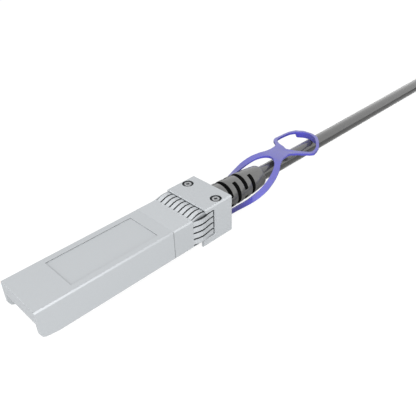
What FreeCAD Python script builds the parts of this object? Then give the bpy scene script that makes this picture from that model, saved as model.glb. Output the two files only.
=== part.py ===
import FreeCAD, Part
import math
import os
import re
import Sketcher
from FreeCAD import Vector

# A direct attach copper cable: a small form factor plug on each end of a round twin axial cable.
# Lengths are in millimetres.  X runs from the plug's tip to its cable, Z goes up from the flat
# underside of the nose, and Y = 0 is the plug's middle.  Each piece is drawn with its tip at X = 0
# and is placed so that the centre of the nose's underside is the part's origin.

os.makedirs("parts", exist_ok=True)
doc = FreeCAD.newDocument("DirectAttachCable")

SIZES = [
    ("body_width", 13.4, "width of the plug body"),
    ("body_height", 8.5, "height of the plug body"),
    ("body_lift", 1.0, "underside of the body above the underside of the nose"),
    ("body_chamfer", 1.1, "slanted lower corners of the body"),
    ("top_chamfer", 0.3, "small bevel of the upper corners"),
    ("stop_reach", 47.5, "tip to the stop faces of the nose"),
    ("skirt_wall", 0.7, "side walls of the cover"),
    ("roof_wall", 1.2, "roof of the cover"),
    ("tip_roof", 3.25, "thick roof over the card's front end"),
    ("tip_roof_length", 10.8, "length of that thick roof"),
    ("mouth_length", 10.4, "open underside at the tip"),
    ("floor_wall", 1.2, "floor of the base"),
    ("collar_setback", 12.7, "front edge of the spring collar to the stop faces"),
    ("collar_recess", 0.1, "step that the collar lies in"),
    ("collar_sheet", 0.12, "sheet of the collar"),
    ("finger_setback", 7.0, "where the fingers begin to the stop faces"),
    ("finger_pitch", 1.56, "pitch of the top fingers"),
    ("side_pitch", 1.72, "pitch of the side fingers"),
    ("finger_slot", 0.35, "slot between two fingers"),
    ("finger_rise", 0.7, "height of the fingers' bow over the top"),
    ("side_rise", 0.55, "height of the fingers' bow at the sides"),
    ("corner_setback", 3.9, "rear end of the collar's corners to the stop faces"),
    ("nose_length", 5.9, "length of the nose"),
    ("nose_width", 13.6, "width of the nose"),
    ("nose_height", 10.53, "height of the nose"),
    ("nose_wall", 0.6, "side walls of the nose"),
    ("lip_reach", 2.85, "reach of the lip over the fingers"),
    ("lip_wall", 0.45, "roof of the lip"),
    ("lower_lip_reach", 3.7, "reach of the lower lips"),
    ("lower_lip_height", 2.2, "height of the lower lips"),
    ("lower_lip_inner", 3.3, "half gap between the lower lips"),
    ("label_start", 9.2, "front of the label recess"),
    ("label_length", 22.4, "length of the label recess"),
    ("label_width", 9.72, "width of the label recess"),
    ("label_depth", 0.15, "depth of the label recess"),
    ("card_start", 3.2, "front edge of the card"),
    ("card_setback", 13.0, "rear edge of the card to the stop faces"),
    ("card_sheet", 1.0, "thickness of the card"),
    ("card_base", 3.25, "underside of the card"),
    ("tongue_width", 9.2, "width of the card's tongue"),
    ("tongue_length", 9.0, "length of the card's tongue"),
    ("card_width", 11.4, "width of the card behind its tongue"),
    ("contact_pitch", 0.8, "pitch of the contacts"),
    ("contact_width", 0.5, "width of a contact"),
    ("contact_length", 2.6, "length of a contact"),
    ("contact_sheet", 0.05, "thickness of a contact"),
    ("chip_pitch", 0.65, "pitch of the chip's leads"),
    ("block_pitch", 2.2, "pitch of the capacitors"),
    ("cable_diameter", 4.0, "outer diameter of the cable"),
    ("axis_height", 5.6, "height of the cable's axis"),
    ("entry_setback", 0.1, "stop faces to the cut end of the jacket"),
    ("pair_diameter", 1.0, "insulated conductor"),
    ("wire_diameter", 0.4, "bare conductor"),
    ("ferrule_setback", 0.3, "cut end of the jacket to the crimp ferrule"),
    ("ferrule_length", 3.1, "length of the crimp ferrule"),
    ("ferrule_diameter", 5.2, "outer diameter of the ferrule"),
    ("flange_setback", 0.2, "crimp ferrule to the boot's flange"),
    ("flange_length", 1.0, "thickness of the boot's flange"),
    ("flange_diameter", 7.2, "diameter of the boot's flange"),
    ("neck_diameter", 6.0, "diameter of the boot in the nose's rear wall"),
    ("boot_length", 17.6, "boot behind the nose"),
    ("boot_diameter", 7.9, "boot at its thick end"),
    ("boot_tip_diameter", 6.2, "boot before its rounded end"),
    ("boot_slot_start", 3.1, "nose to the first flex slot"),
    ("boot_slot_pitch", 2.87, "pitch of the flex slots"),
    ("boot_slot_width", 0.8, "width of a flex slot"),
    ("boot_sleeve", 0.35, "wall left under a flex slot"),
    ("screw_setback", 2.37, "stop faces to the screws"),
    ("screw_offset", 4.9, "screws from the middle"),
    ("screw_head", 2.0, "diameter of a screw head"),
    ("screw_recess", 2.9, "diameter of a screw's recess"),
    ("screw_depth", 0.6, "depth of a screw's recess"),
    ("screw_shank", 1.2, "diameter of a screw's shank"),
    ("boss_width", 2.6, "width of the latch boss"),
    ("boss_setback", 2.5, "latch boss's shoulder to the stop faces"),
    ("boss_height", 0.45, "height of the latch boss"),
    ("boss_length", 2.6, "length of the latch boss"),
    ("slide_travel", 1.6, "travel of the slider and its tab"),
    ("slider_sheet", 0.5, "sheet of the slider"),
    ("slider_side", 0.4, "side walls and tongues of the slider"),
    ("slide_gap", 0.05, "running clearance of the slider"),
    ("tine_inner", 1.6, "inner edge of a slider tine from the middle"),
    ("tine_outer", 3.05, "outer edge of a slider tine from the middle"),
    ("spring_offset", 3.6, "return spring from the middle"),
    ("spring_diameter", 1.5, "outer diameter of the return spring"),
    ("spring_wire", 0.3, "wire of the return spring"),
    ("spring_turns", 4.0, "turns of the return spring"),
    ("tab_setback", 5.1, "stop faces to the front end of the tab's arms"),
    ("arm_inset", 1.15, "side of the nose to the middle of a tab arm"),
    ("arm_width", 1.0, "width of a tab arm"),
    ("arm_height", 1.1, "height of a tab arm"),
    ("arm_level", 4.75, "height of an arm's middle at the nose"),
    ("eye_reach", 34.7, "stop faces to the front of the finger loop"),
    ("eye_length", 13.1, "length of the finger loop"),
    ("eye_width", 12.9, "width of the finger loop"),
    ("eye_rim", 1.05, "rim of the finger loop"),
    ("eye_level", 9.5, "top of the finger loop"),
    ("eye_lean", 0.1, "sideways lean of the loop's rear half"),
    ("neck_width", 5.7, "width of the tab's neck"),
    ("grip_length", 3.8, "length of the deeper grip at the loop's rear"),
    ("grip_height", 1.9, "height of that grip"),
    ("far_shift", 88.0, "far plug along the part"),
    ("far_side", 52.0, "far plug beside the near one"),
    ("lead_bend", 165.0, "end of the cable's level run from the near plug"),
    ("far_bend", 166.8, "end of the cable's level run from the far plug"),
    ("lead_end", 196.0, "ends of the cable's runs inside the coil"),
    ("upper_turn", 6.0, "height of the coil's upper turns"),
    ("lower_turn", 2.3, "height of the coil's lower turns where the cable leaves"),
    ("coil_place", 205.0, "coil's middle along the part"),
    ("coil_outer", 56.0, "outer diameter of the coil"),
    ("coil_inner", 28.0, "inner diameter of the coil"),
    ("coil_height", 8.0, "height of the coil"),
    ("tie_width", 5.0, "width of the tie"),
    ("tie_sheet", 0.6, "thickness of the tie"),
]

sheet = doc.addObject("Spreadsheet::Sheet", "Params")
for row, (alias, value, note) in enumerate(SIZES, 1):
    sheet.set("A%d" % row, alias)
    sheet.set("B%d" % row, str(value))
    sheet.set("C%d" % row, note)
    sheet.setAlias("B%d" % row, alias)
doc.recompute()

GIVEN = {alias for alias, value, note in SIZES}
WORD = re.compile(r"\b[a-z]+(?:_[a-z]+)+\b")

# Values that follow from the sizes above, written as formulas of them.
DERIVED = {
    "collar_start": "stop_reach - collar_setback",
    "finger_start": "stop_reach - finger_setback",
    "collar_corner": "stop_reach - corner_setback",
    "card_end": "stop_reach - card_setback",
    "cable_entry": "stop_reach + entry_setback",
    "ferrule_start": "cable_entry + ferrule_setback",
    "flange_start": "ferrule_start + ferrule_length + flange_setback",
    "screw_place": "stop_reach + screw_setback",
    "boss_reach": "stop_reach - boss_setback",
    "tab_start": "stop_reach + tab_setback",
    "arm_offset": "nose_width / 2 - arm_inset",
    "eye_start": "stop_reach + eye_reach",
    "half_width": "body_width / 2",
    "body_top": "body_lift + body_height",
    "skirt_inner": "body_width / 2 - skirt_wall",
    "roof_under": "body_lift + body_height - roof_wall",
    "card_top": "card_base + card_sheet",
    "nose_end": "stop_reach + nose_length",
    "nose_inner": "nose_width / 2 - nose_wall",
    "saddle_half": "flange_diameter / 2 + 0.15",
    "plate_under": "body_lift - slide_gap - slider_sheet",
    "plate_top": "body_lift - slide_gap",
    "plate_start": "stop_reach + 0.4",
    "plate_end": "stop_reach + 2.9",
    "slot_end": "stop_reach + 2.9 + slide_travel + 0.1",
    "side_outer": "arm_offset + slider_side / 2",
    "side_inner": "arm_offset - slider_side / 2",
    "channel_inner": "arm_offset - arm_width / 2 - 0.2",
    "rear_wall": "stop_reach + nose_length - 1",
    "spring_level": "body_lift + 0.25 + spring_diameter / 2",
    "datum_place": "stop_reach + nose_length / 2 - 2.05",
}


def formula(text):
    """The text with each named size written as the sheet's cell."""
    def swap(match):
        word = match.group(0)
        if word in DERIVED:
            return "(" + formula(DERIVED[word]) + ")"
        return "Params." + word if word in GIVEN else word
    return WORD.sub(swap, str(text))


def value(text):
    """The number that a formula gives now."""
    return float(sheet.evalExpression(formula(text)))


def place(item, shift="0", side="0"):
    """Sets a piece so that the centre of the nose's underside is the origin."""
    item.setExpression("Placement.Base.x", formula("%s - datum_place" % shift))
    if side != "0":
        item.setExpression("Placement.Base.y", formula(side))


def new_body(label):
    body = doc.addObject("PartDesign::Body", label)
    body.Label = label
    body.AllowCompound = True
    place(body)
    return body


def flat(body, name, plane, offset="0"):
    """An empty sketch on one of the body's planes."""
    sketch = body.newObject("Sketcher::SketchObject", body.Label + "_" + name)
    for item in body.Origin.OriginFeatures:
        if item.Role == plane + "_Plane":
            sketch.AttachmentSupport = [(item, "")]
    sketch.MapMode = "FlatFace"
    if offset != "0":
        sketch.setExpression("AttachmentOffset.Base.z", formula(offset))
    return sketch


def loop(sketch, corners):
    """Adds a closed chain of lines with each corner held by formulas."""
    spots = [Vector(value(across), value(along), 0) for across, along in corners]
    first = sketch.GeometryCount
    count = len(spots)
    sketch.addGeometry([Part.LineSegment(spots[i], spots[(i + 1) % count]) for i in range(count)])
    joints = []
    for i in range(count):
        joints.append(Sketcher.Constraint("Coincident", first + i, 2, first + (i + 1) % count, 1))
    sketch.addConstraint(joints)
    for i, (across, along) in enumerate(corners):
        for kind, text, number in (("DistanceX", across, spots[i].x), ("DistanceY", along, spots[i].y)):
            row = sketch.addConstraint(Sketcher.Constraint(kind, -1, 1, first + i, 1, number))
            if WORD.search(str(text)):
                sketch.setExpression("Constraints[%d]" % row, formula(text))


def round_hole(sketch, across, along, diameter):
    """Adds a circle held by formulas."""
    centre = Vector(value(across), value(along), 0)
    number = sketch.addGeometry(Part.Circle(centre, Vector(0, 0, 1), value(diameter) / 2))
    for kind, text, now in (("DistanceX", across, centre.x), ("DistanceY", along, centre.y)):
        row = sketch.addConstraint(Sketcher.Constraint(kind, -1, 1, number, 3, now))
        if WORD.search(str(text)):
            sketch.setExpression("Constraints[%d]" % row, formula(text))
    row = sketch.addConstraint(Sketcher.Constraint("Radius", number, value(diameter) / 2))
    sketch.setExpression("Constraints[%d]" % row, formula("(%s) / 2" % diameter))


def sides(across, along, radius, count):
    """The corners of a regular outline with flat sides, which a mesh follows with few triangles."""
    corners = []
    for k in range(count):
        angle = 2 * math.pi * (k + 0.5) / count
        corners.append(("%s + (%s) * %.5f" % (across, radius, math.cos(angle)),
                        "%s + (%s) * %.5f" % (along, radius, math.sin(angle))))
    return corners


def finish(body, feature, sketch):
    sketch.Visibility = False
    body.Tip = feature
    doc.recompute()
    return feature


def pad(body, sketch, length, middle=False, backwards=False):
    feature = body.newObject("PartDesign::Pad", sketch.Name + "_pad")
    feature.Profile = sketch
    if middle:
        feature.SideType = "Symmetric"
    feature.Reversed = backwards
    feature.setExpression("Length", formula(length))
    return finish(body, feature, sketch)


def pocket(body, sketch, length, middle=False, backwards=False):
    feature = body.newObject("PartDesign::Pocket", sketch.Name + "_pocket")
    feature.Profile = sketch
    if middle:
        feature.SideType = "Symmetric"
    feature.Reversed = backwards
    feature.setExpression("Length", formula(length))
    return finish(body, feature, sketch)


def axis_of(body, role):
    for item in body.Origin.OriginFeatures:
        if item.Role == role:
            return item


def repeat(body, feature, role, pitch, count, backwards=False):
    pattern = body.newObject("PartDesign::LinearPattern", feature.Name + "_row")
    pattern.Originals = [feature]
    pattern.Direction = (axis_of(body, role), [""])
    pattern.Mode = "Spacing"
    pattern.Reversed = backwards
    pattern.setExpression("Offset", formula(pitch))
    pattern.Occurrences = count
    body.Tip = pattern
    doc.recompute()
    return pattern


def mirror(body, features):
    copy = body.newObject("PartDesign::Mirrored", features[0].Name + "_twin")
    copy.Originals = features
    copy.MirrorPlane = (axis_of(body, "XZ_Plane"), [""])
    body.Tip = copy
    doc.recompute()
    return copy


def box(across, along):
    """The four corners of a rectangle given by two pairs of formulas."""
    (left, right), (low, high) = across, along
    return [(left, low), (right, low), (right, high), (left, high)]


def pad_block(body, name, start, length, side, height):
    """A block from a rectangle across the plug, padded along it from start."""
    sketch = flat(body, name, "YZ", start)
    loop(sketch, box(side, height))
    return pad(body, sketch, length)


def cut_block(body, name, start, length, side, height):
    sketch = flat(body, name, "YZ", start)
    loop(sketch, box(side, height))
    return pocket(body, sketch, length, backwards=True)


def section(inset):
    """The body's outline across the plug, moved inwards by a formula."""
    slant = "0.4142 * (%s)" % inset
    low = [("half_width - body_chamfer - %s" % slant, "body_lift + %s" % inset),
           ("half_width - (%s)" % inset, "body_lift + body_chamfer + %s" % slant)]
    high = [("half_width - (%s)" % inset, "body_top - top_chamfer - %s" % slant),
            ("half_width - top_chamfer - %s" % slant, "body_top - (%s)" % inset)]
    right = low + high
    left = [("-(%s)" % across, along) for across, along in reversed(right)]
    return right + left


# What the two halves of the nose clamp: the six-sided crimp, the eight-sided flange that keeps the
# boot from turning, and the boot's neck.  Each seat has the outline of the piece that fills it.
CRIMP_SIDES, FLANGE_SIDES, BOOT_SIDES = 6, 8, 24
SEATS = [("ferrule_seat", "stop_reach", "flange_start - stop_reach", "ferrule_diameter", CRIMP_SIDES),
         ("flange_seat", "flange_start", "flange_length", "flange_diameter", FLANGE_SIDES),
         ("neck_seat", "flange_start + flange_length", "nose_end - flange_start - flange_length",
          "neck_diameter", BOOT_SIDES)]
SHANK_SIDES = 12

# Top cover: roof, skirts and the upper nose in one casting.
cover = new_body("top_cover")
sketch = flat(cover, "front", "YZ")
loop(sketch, section("0"))
pad(cover, sketch, "collar_start")
sketch = flat(cover, "waist", "YZ", "collar_start")
loop(sketch, section("collar_recess"))
pad(cover, sketch, "stop_reach - collar_start")
sketch = flat(cover, "nose", "YZ", "stop_reach")
loop(sketch, [("nose_width / 2 - 0.45", "0"), ("nose_width / 2", "0.45"),
              ("nose_width / 2", "nose_height - 0.3"), ("nose_width / 2 - 0.3", "nose_height"),
              ("-nose_width / 2 + 0.3", "nose_height"), ("-nose_width / 2", "nose_height - 0.3"),
              ("-nose_width / 2", "0.45"), ("-nose_width / 2 + 0.45", "0")])
pad(cover, sketch, "nose_length")
sketch = flat(cover, "lip", "YZ", "stop_reach - lip_reach")
loop(sketch, [("nose_width / 2", "body_top - 0.1"), ("nose_width / 2", "nose_height - 0.3"),
              ("nose_width / 2 - 0.3", "nose_height"), ("-nose_width / 2 + 0.3", "nose_height"),
              ("-nose_width / 2", "nose_height - 0.3"), ("-nose_width / 2", "body_top - 0.1")])
pad(cover, sketch, "lip_reach")
for side in ("", "-"):
    sketch = flat(cover, "lower_lip" + ("_left" if side else "_right"), "YZ", "stop_reach - lower_lip_reach")
    loop(sketch, [(side + "lower_lip_inner", "0"), (side + "(nose_width / 2 - 0.45)", "0"),
                  (side + "(nose_width / 2)", "0.45"), (side + "(nose_width / 2)", "lower_lip_height"),
                  (side + "lower_lip_inner", "lower_lip_height")])
    pad(cover, sketch, "lower_lip_reach")
cut_block(cover, "finger_room", "stop_reach - lip_reach", "lip_reach - 0.1",
          ("-(half_width - 0.3)", "half_width - 0.3"), ("body_top - collar_recess", "nose_height - lip_wall"))
cut_block(cover, "card_room", "0", "stop_reach", ("-skirt_inner", "skirt_inner"),
          ("0 - 1", "body_top - tip_roof"))
cut_block(cover, "inner_room", "tip_roof_length", "stop_reach - tip_roof_length",
          ("-skirt_inner", "skirt_inner"), ("body_lift", "roof_under"))
cut_block(cover, "nose_room", "stop_reach", "nose_length", ("-nose_inner", "nose_inner"),
          ("0 - 1", "nose_height - 1.18"))
pad_block(cover, "saddle", "stop_reach", "nose_length", ("-saddle_half", "saddle_half"),
          ("axis_height", "nose_height - 1"))
for name, start, length, width, count in SEATS:
    sketch = flat(cover, name, "YZ", start)
    loop(sketch, sides("0", "axis_height", width + " / 2", count))
    pocket(cover, sketch, length, backwards=True)
for side in ("", "-"):
    hand = "_left" if side else "_right"
    for number, start in enumerate(("card_start + 10.8", "card_end - 4.5")):
        pad_block(cover, "rib%d%s" % (number, hand), start, "3.6",
                  (side + "(skirt_inner - 0.9)", side + "(skirt_inner + 0.2)"),
                  ("card_top", "roof_under + 0.2"))
sketch = flat(cover, "tip_corner", "XZ")
loop(sketch, [("0 - 1", "body_lift - 1.5"), ("0 - 1", "body_lift + 2.9"), ("0", "body_lift + 2.9"),
              ("0.5", "body_lift + 1.9"), ("1.07", "body_lift + 1.56"), ("1.9", "body_lift + 1.42"),
              ("3", "body_lift + 1.25"), ("4.1", "body_lift + 1.08"), ("4.8", "body_lift - 1.5")])
pocket(cover, sketch, "body_width * 2", middle=True)
sketch = flat(cover, "foot_arches", "XZ")
loop(sketch, [("stop_reach - 3", "0 - 1"), ("stop_reach - 3", "0"), ("stop_reach - 2.2", "0.38"),
              ("stop_reach - 0.6", "0.1"), ("stop_reach + 0.6", "0"), ("stop_reach + 0.6", "0 - 1")])
loop(sketch, [("stop_reach + 1.8", "0 - 1"), ("stop_reach + 1.8", "0"), ("stop_reach + 3", "0.38"),
              ("stop_reach + 4.6", "0"), ("stop_reach + 4.6", "0 - 1")])
pocket(cover, sketch, "nose_width * 2", middle=True)
sketch = flat(cover, "label", "XY", "body_top - label_depth")
loop(sketch, box(("label_start", "label_start + label_length"), ("-label_width / 2", "label_width / 2")))
pocket(cover, sketch, "label_depth * 2", backwards=True)
sketch = flat(cover, "screw_recess", "XY", "nose_height - screw_depth")
round_hole(sketch, "screw_place", "screw_offset", "screw_recess")
recess = pocket(cover, sketch, "screw_depth * 2", backwards=True)
sketch = flat(cover, "screw_hole", "XY", "nose_height - 2")
loop(sketch, sides("screw_place", "screw_offset", "screw_shank / 2", SHANK_SIDES))
hole = pocket(cover, sketch, "2.5", backwards=True)
mirror(cover, [recess, hole])

# Base: the tray between the skirts, the latch boss and the lower nose.
base = new_body("base_shell")
for name, start, length, inset in (("front", "mouth_length", "collar_start - mouth_length", "0"),
                                   ("waist", "collar_start", "stop_reach - collar_start", "collar_recess")):
    sketch = flat(base, name, "YZ", start)
    low = "body_lift + %s" % inset
    foot = "half_width - body_chamfer - 0.4142 * %s" % inset
    edge = "body_lift + body_chamfer - skirt_wall + 1.4142 * %s" % inset
    loop(sketch, [("-(%s)" % foot, low), (foot, low), ("skirt_inner", edge),
                  ("skirt_inner", "body_lift + floor_wall"), ("-skirt_inner", "body_lift + floor_wall"),
                  ("-skirt_inner", edge)])
    pad(base, sketch, length)
for side in ("", "-"):
    hand = "_left" if side else "_right"
    pad_block(base, "ledge" + hand, "mouth_length", "card_end - mouth_length",
              (side + "(tongue_width / 2 - 0.4)", side + "skirt_inner"), ("body_lift + 0.6", "card_base"))
pad_block(base, "card_stop", "card_end", "1.6", ("-skirt_inner", "skirt_inner"),
          ("body_lift + 0.6", "card_base + card_sheet / 2"))
sketch = flat(base, "latch_boss", "XZ")
loop(sketch, [("boss_reach - boss_length", "body_lift + 0.3"), ("boss_reach - boss_length", "body_lift"),
              ("boss_reach - boss_length + 1.1", "body_lift - boss_height"),
              ("boss_reach", "body_lift - boss_height"), ("boss_reach", "body_lift + 0.3")])
pad(base, sketch, "boss_width", middle=True)
pad_block(base, "nose_foot", "stop_reach", "nose_length", ("-(side_outer + 0.1)", "side_outer + 0.1"),
          ("0", "body_lift + 1"))
pad_block(base, "nose_rear", "rear_wall", "nose_end - rear_wall", ("-nose_inner", "nose_inner"),
          ("0", "axis_height"))
pad_block(base, "nose_core", "stop_reach", "nose_length", ("-channel_inner", "channel_inner"),
          ("body_lift", "axis_height"))
for side in ("", "-"):
    hand = "_left" if side else "_right"
    pad_block(base, "post_foot" + hand, "stop_reach", "nose_length",
              (side + "saddle_half", side + "channel_inner"), ("axis_height - 0.5", "axis_height + 1.2"))
    pad_block(base, "post" + hand, "stop_reach", "nose_length",
              (side + "saddle_half", side + "nose_inner"), ("axis_height + 1", "nose_height - 1.18"))
    cut_block(base, "channel" + hand, "stop_reach", "rear_wall - stop_reach",
              (side + "channel_inner", side + "nose_inner"), ("plate_under - slide_gap", "axis_height + 1"))
    cut_block(base, "arm_gate" + hand, "rear_wall", "nose_end - rear_wall",
              (side + "channel_inner", side + "nose_inner"),
              ("arm_level - arm_height / 2 - 0.4", "arm_level + arm_height / 2 + 0.25"))
cut_block(base, "plate_slot", "stop_reach", "slot_end - stop_reach",
          ("-(side_outer + slide_gap)", "side_outer + slide_gap"), ("plate_under - slide_gap", "body_lift"))
cut_block(base, "spring_room", "plate_start", "slot_end - plate_start",
          ("spring_offset - spring_diameter / 2 - slide_gap",
           "spring_offset + spring_diameter / 2 + slide_gap"),
          ("body_lift", "spring_level + spring_diameter / 2 + slide_gap"))
for name, start, length, width, count in SEATS:
    sketch = flat(base, name, "YZ", start)
    loop(sketch, sides("0", "axis_height", width + " / 2", count))
    pocket(base, sketch, length, backwards=True)
sketch = flat(base, "screw_thread", "XY", "nose_height - 3.7")
loop(sketch, sides("screw_place", "screw_offset", "screw_shank / 2", SHANK_SIDES))
hole = pocket(base, sketch, "3", backwards=True)
mirror(base, [hole])
sketch = flat(base, "foot_arch", "XZ")
loop(sketch, [("stop_reach + 1.8", "0 - 1"), ("stop_reach + 1.8", "0"), ("stop_reach + 3", "0.15"),
              ("stop_reach + 4.6", "0"), ("stop_reach + 4.6", "0 - 1")])
pocket(base, sketch, "nose_width * 2", middle=True)

# Spring collar: a band round both shells with bowed fingers on three sides.
collar = new_body("emi_spring_collar")
sketch = flat(collar, "band", "YZ", "collar_start")
loop(sketch, section("(collar_recess - collar_sheet)"))
loop(sketch, section("collar_recess"))
pad(collar, sketch, "collar_corner - collar_start")
top_slots = "finger_pitch * 4"
side_top = "body_top - 0.17"
side_low = "(body_top - 0.17 - side_pitch * 4)"
cut_block(collar, "top_window", "finger_start", "collar_corner - finger_start + 1",
          ("-(%s + finger_slot / 2)" % top_slots, "%s + finger_slot / 2" % top_slots),
          ("axis_height", "body_top + 1"))
for side in ("", "-"):
    hand = "_left" if side else "_right"
    cut_block(collar, "side_window" + hand, "finger_start", "collar_corner - finger_start + 1",
              (side + "(half_width - 1)", side + "(half_width + 1)"),
              ("%s - finger_slot / 2" % side_low, "%s + finger_slot / 2" % side_top))
cut_block(collar, "latch_window", "finger_start", "collar_corner - finger_start + 1",
          ("-lower_lip_inner", "lower_lip_inner"), ("body_lift - 1", "body_lift + 1"))
BOW = [(-0.3, 0.0), (0.3, 0.03), (1.6, 0.72), (2.6, 1.0), (3.5, 0.87), (5.5, 0.26), (6.8, 0.1)]


def bow(level, rise, sign=""):
    """A bent strip's outline: its outer line out and its inner line back."""
    skin = "%s + collar_sheet - collar_recess" % level
    outer = [("finger_start + %s" % step, "%s(%s + %s * %s)" % (sign, skin, rise, lift))
             for step, lift in BOW]
    inner = [("finger_start + %s" % step, "%s(%s - collar_sheet + %s * %s)" % (sign, skin, rise, lift))
             for step, lift in reversed(BOW)]
    return outer + inner


sketch = flat(collar, "top_strip", "XZ")
loop(sketch, bow("body_top", "finger_rise"))
pad(collar, sketch, "finger_pitch * 8", middle=True)
sketch = flat(collar, "top_slot", "XY", "body_top - 1")
loop(sketch, box(("finger_start", "finger_start + 8"),
                 ("-(finger_pitch * 4 + finger_slot / 2)", "-(finger_pitch * 4 - finger_slot / 2)")))
slot = pocket(collar, sketch, "4", backwards=True)
repeat(collar, slot, "Y_Axis", "finger_pitch", 9)
for side in ("", "-"):
    hand = "_left" if side else "_right"
    sketch = flat(collar, "side_strip" + hand, "XY", side_low)
    loop(sketch, bow("half_width", "side_rise", side))
    pad(collar, sketch, "side_pitch * 4")
sketch = flat(collar, "side_slot", "XZ")
loop(sketch, box(("finger_start", "finger_start + 8"),
                 ("%s - finger_slot / 2" % side_low, "%s + finger_slot / 2" % side_low)))
slot = pocket(collar, sketch, "body_width * 2", middle=True)
repeat(collar, slot, "Z_Axis", "side_pitch", 5)

# Screws that hold the cover to the base.
screws = new_body("cover_screws")
sketch = flat(screws, "head", "XY", "nose_height - screw_depth")
round_hole(sketch, "screw_place", "screw_offset", "screw_head")
head = pad(screws, sketch, "screw_depth - 0.05")
sketch = flat(screws, "shank", "XY", "nose_height - 3.6")
loop(sketch, sides("screw_place", "screw_offset", "screw_shank / 2", SHANK_SIDES))
shank = pad(screws, sketch, "3.6 - screw_depth")
mirror(screws, [head, shank])

# Card with its contacts, chip and capacitors.
card = new_body("paddle_card")
sketch = flat(card, "outline", "XY", "card_base")
shape = [("card_start", "tongue_width / 2 - 0.6"), ("card_start + 0.6", "tongue_width / 2"),
         ("card_start + tongue_length", "tongue_width / 2"),
         ("card_start + tongue_length", "card_width / 2"), ("card_end", "card_width / 2")]
loop(sketch, shape + [(along, "-(%s)" % across) for along, across in reversed(shape)])
pad(card, sketch, "card_sheet")
sketch = flat(card, "bevel", "XZ")
loop(sketch, [("card_start - 0.1", "card_base - 0.1"), ("card_start + 0.5", "card_base - 0.1"),
              ("card_start + 0.5", "card_base"), ("card_start", "card_base + 0.25"),
              ("card_start - 0.1", "card_base + 0.25")])
loop(sketch, [("card_start - 0.1", "card_top + 0.1"), ("card_start + 0.5", "card_top + 0.1"),
              ("card_start + 0.5", "card_top"), ("card_start", "card_top - 0.25"),
              ("card_start - 0.1", "card_top - 0.25")])
pocket(card, sketch, "card_width", middle=True)

contacts = new_body("card_contacts")
for name, level, below in (("upper", "card_top", False), ("lower", "card_base", True)):
    sketch = flat(contacts, name, "XY", level)
    loop(sketch, box(("card_start + 0.7", "card_start + 0.7 + contact_length"),
                     ("-contact_pitch * 4.5 - contact_width / 2",
                      "-contact_pitch * 4.5 + contact_width / 2")))
    strip = pad(contacts, sketch, "contact_sheet", backwards=below)
    repeat(contacts, strip, "Y_Axis", "contact_pitch", 10)

chip = new_body("memory_chip")
pad_block(chip, "package", "card_start + 18", "3", ("-2", "2"), ("card_top + 0.1", "card_top + 0.85"))
lead = pad_block(chip, "lead", "card_start + 18.4", "0.3", ("-2.5", "2.5"), ("card_top", "card_top + 0.2"))
repeat(chip, lead, "X_Axis", "chip_pitch", 4)

parts_row = new_body("coupling_capacitors")
block = pad_block(parts_row, "block", "card_start + 12.6", "1",
                  ("-3.65", "-3.15"), ("card_top", "card_top + 0.5"))
repeat(parts_row, block, "Y_Axis", "block_pitch", 4)

# Twin axial pairs from the cable's cut end to the card.
pairs = new_body("twinax_pairs")
ends = new_body("conductor_ends")
# Each wire's place across the card, then at the jacket's cut end and halfway, from the cable's axis.
# A wire is eight-sided, which keeps these hidden pieces light.
WIRES = [("-2.95", ("-0.56", "-0.56"), ("-2", "-0.7")), ("-1.85", ("-0.56", "0.56"), ("-0.9", "0.15")),
         ("1.85", ("0.56", "0.56"), ("0.9", "0.15")), ("2.95", ("0.56", "-0.56"), ("2", "-0.7"))]
ROUND = [(0.462, 0.191), (0.191, 0.462), (-0.191, 0.462), (-0.462, 0.191), (-0.462, -0.191), (-0.191, -0.462),
         (0.191, -0.462), (0.462, -0.191)]
REST = "card_top + pair_diameter / 2 + 0.02"
for number, (out, cut, halfway) in enumerate(WIRES):
    stations = [("cable_entry", cut[0], "axis_height + %s" % cut[1]),
                ("(cable_entry * 2 + card_end) / 3", halfway[0], "axis_height + %s" % halfway[1]),
                ("(cable_entry + card_end * 2) / 3", out, REST), ("card_end - 1", out, REST)]
    rings = []
    for step, (along, across, height) in enumerate(stations):
        sketch = flat(pairs, "ring%d_%d" % (number, step), "YZ", along)
        loop(sketch, [("%s + pair_diameter * %s" % (across, right), "%s + pair_diameter * %s" % (height, up))
                      for right, up in ROUND])
        sketch.Visibility = False
        rings.append(sketch)
    loft = pairs.newObject("PartDesign::AdditiveLoft", "twinax_pairs_wire%d" % number)
    loft.Profile = rings[0]
    loft.Sections = rings[1:]
    loft.Ruled = True
    pairs.Tip = loft
    doc.recompute()
    sketch = flat(ends, "wire%d" % number, "YZ", "card_end - 3.2")
    loop(sketch, [("%s + wire_diameter * %s" % (out, right), "%s + wire_diameter * %s" % (REST, up))
                  for right, up in ROUND])
    pad(ends, sketch, "2.2")
    pad_block(ends, "solder%d" % number, "card_end - 3.2", "1.5", ("%s - 0.35" % out, "%s + 0.35" % out),
              ("card_top", "card_top + pair_diameter / 2"))

# Ferrule and boot, round the cable.
ferrule = new_body("crimp_ferrule")
sketch = flat(ferrule, "wall", "YZ", "ferrule_start")
loop(sketch, sides("0", "axis_height", "ferrule_diameter / 2", CRIMP_SIDES))
round_hole(sketch, "0", "axis_height", "cable_diameter")
pad(ferrule, sketch, "ferrule_length")

boot = new_body("strain_relief_boot")
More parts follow.
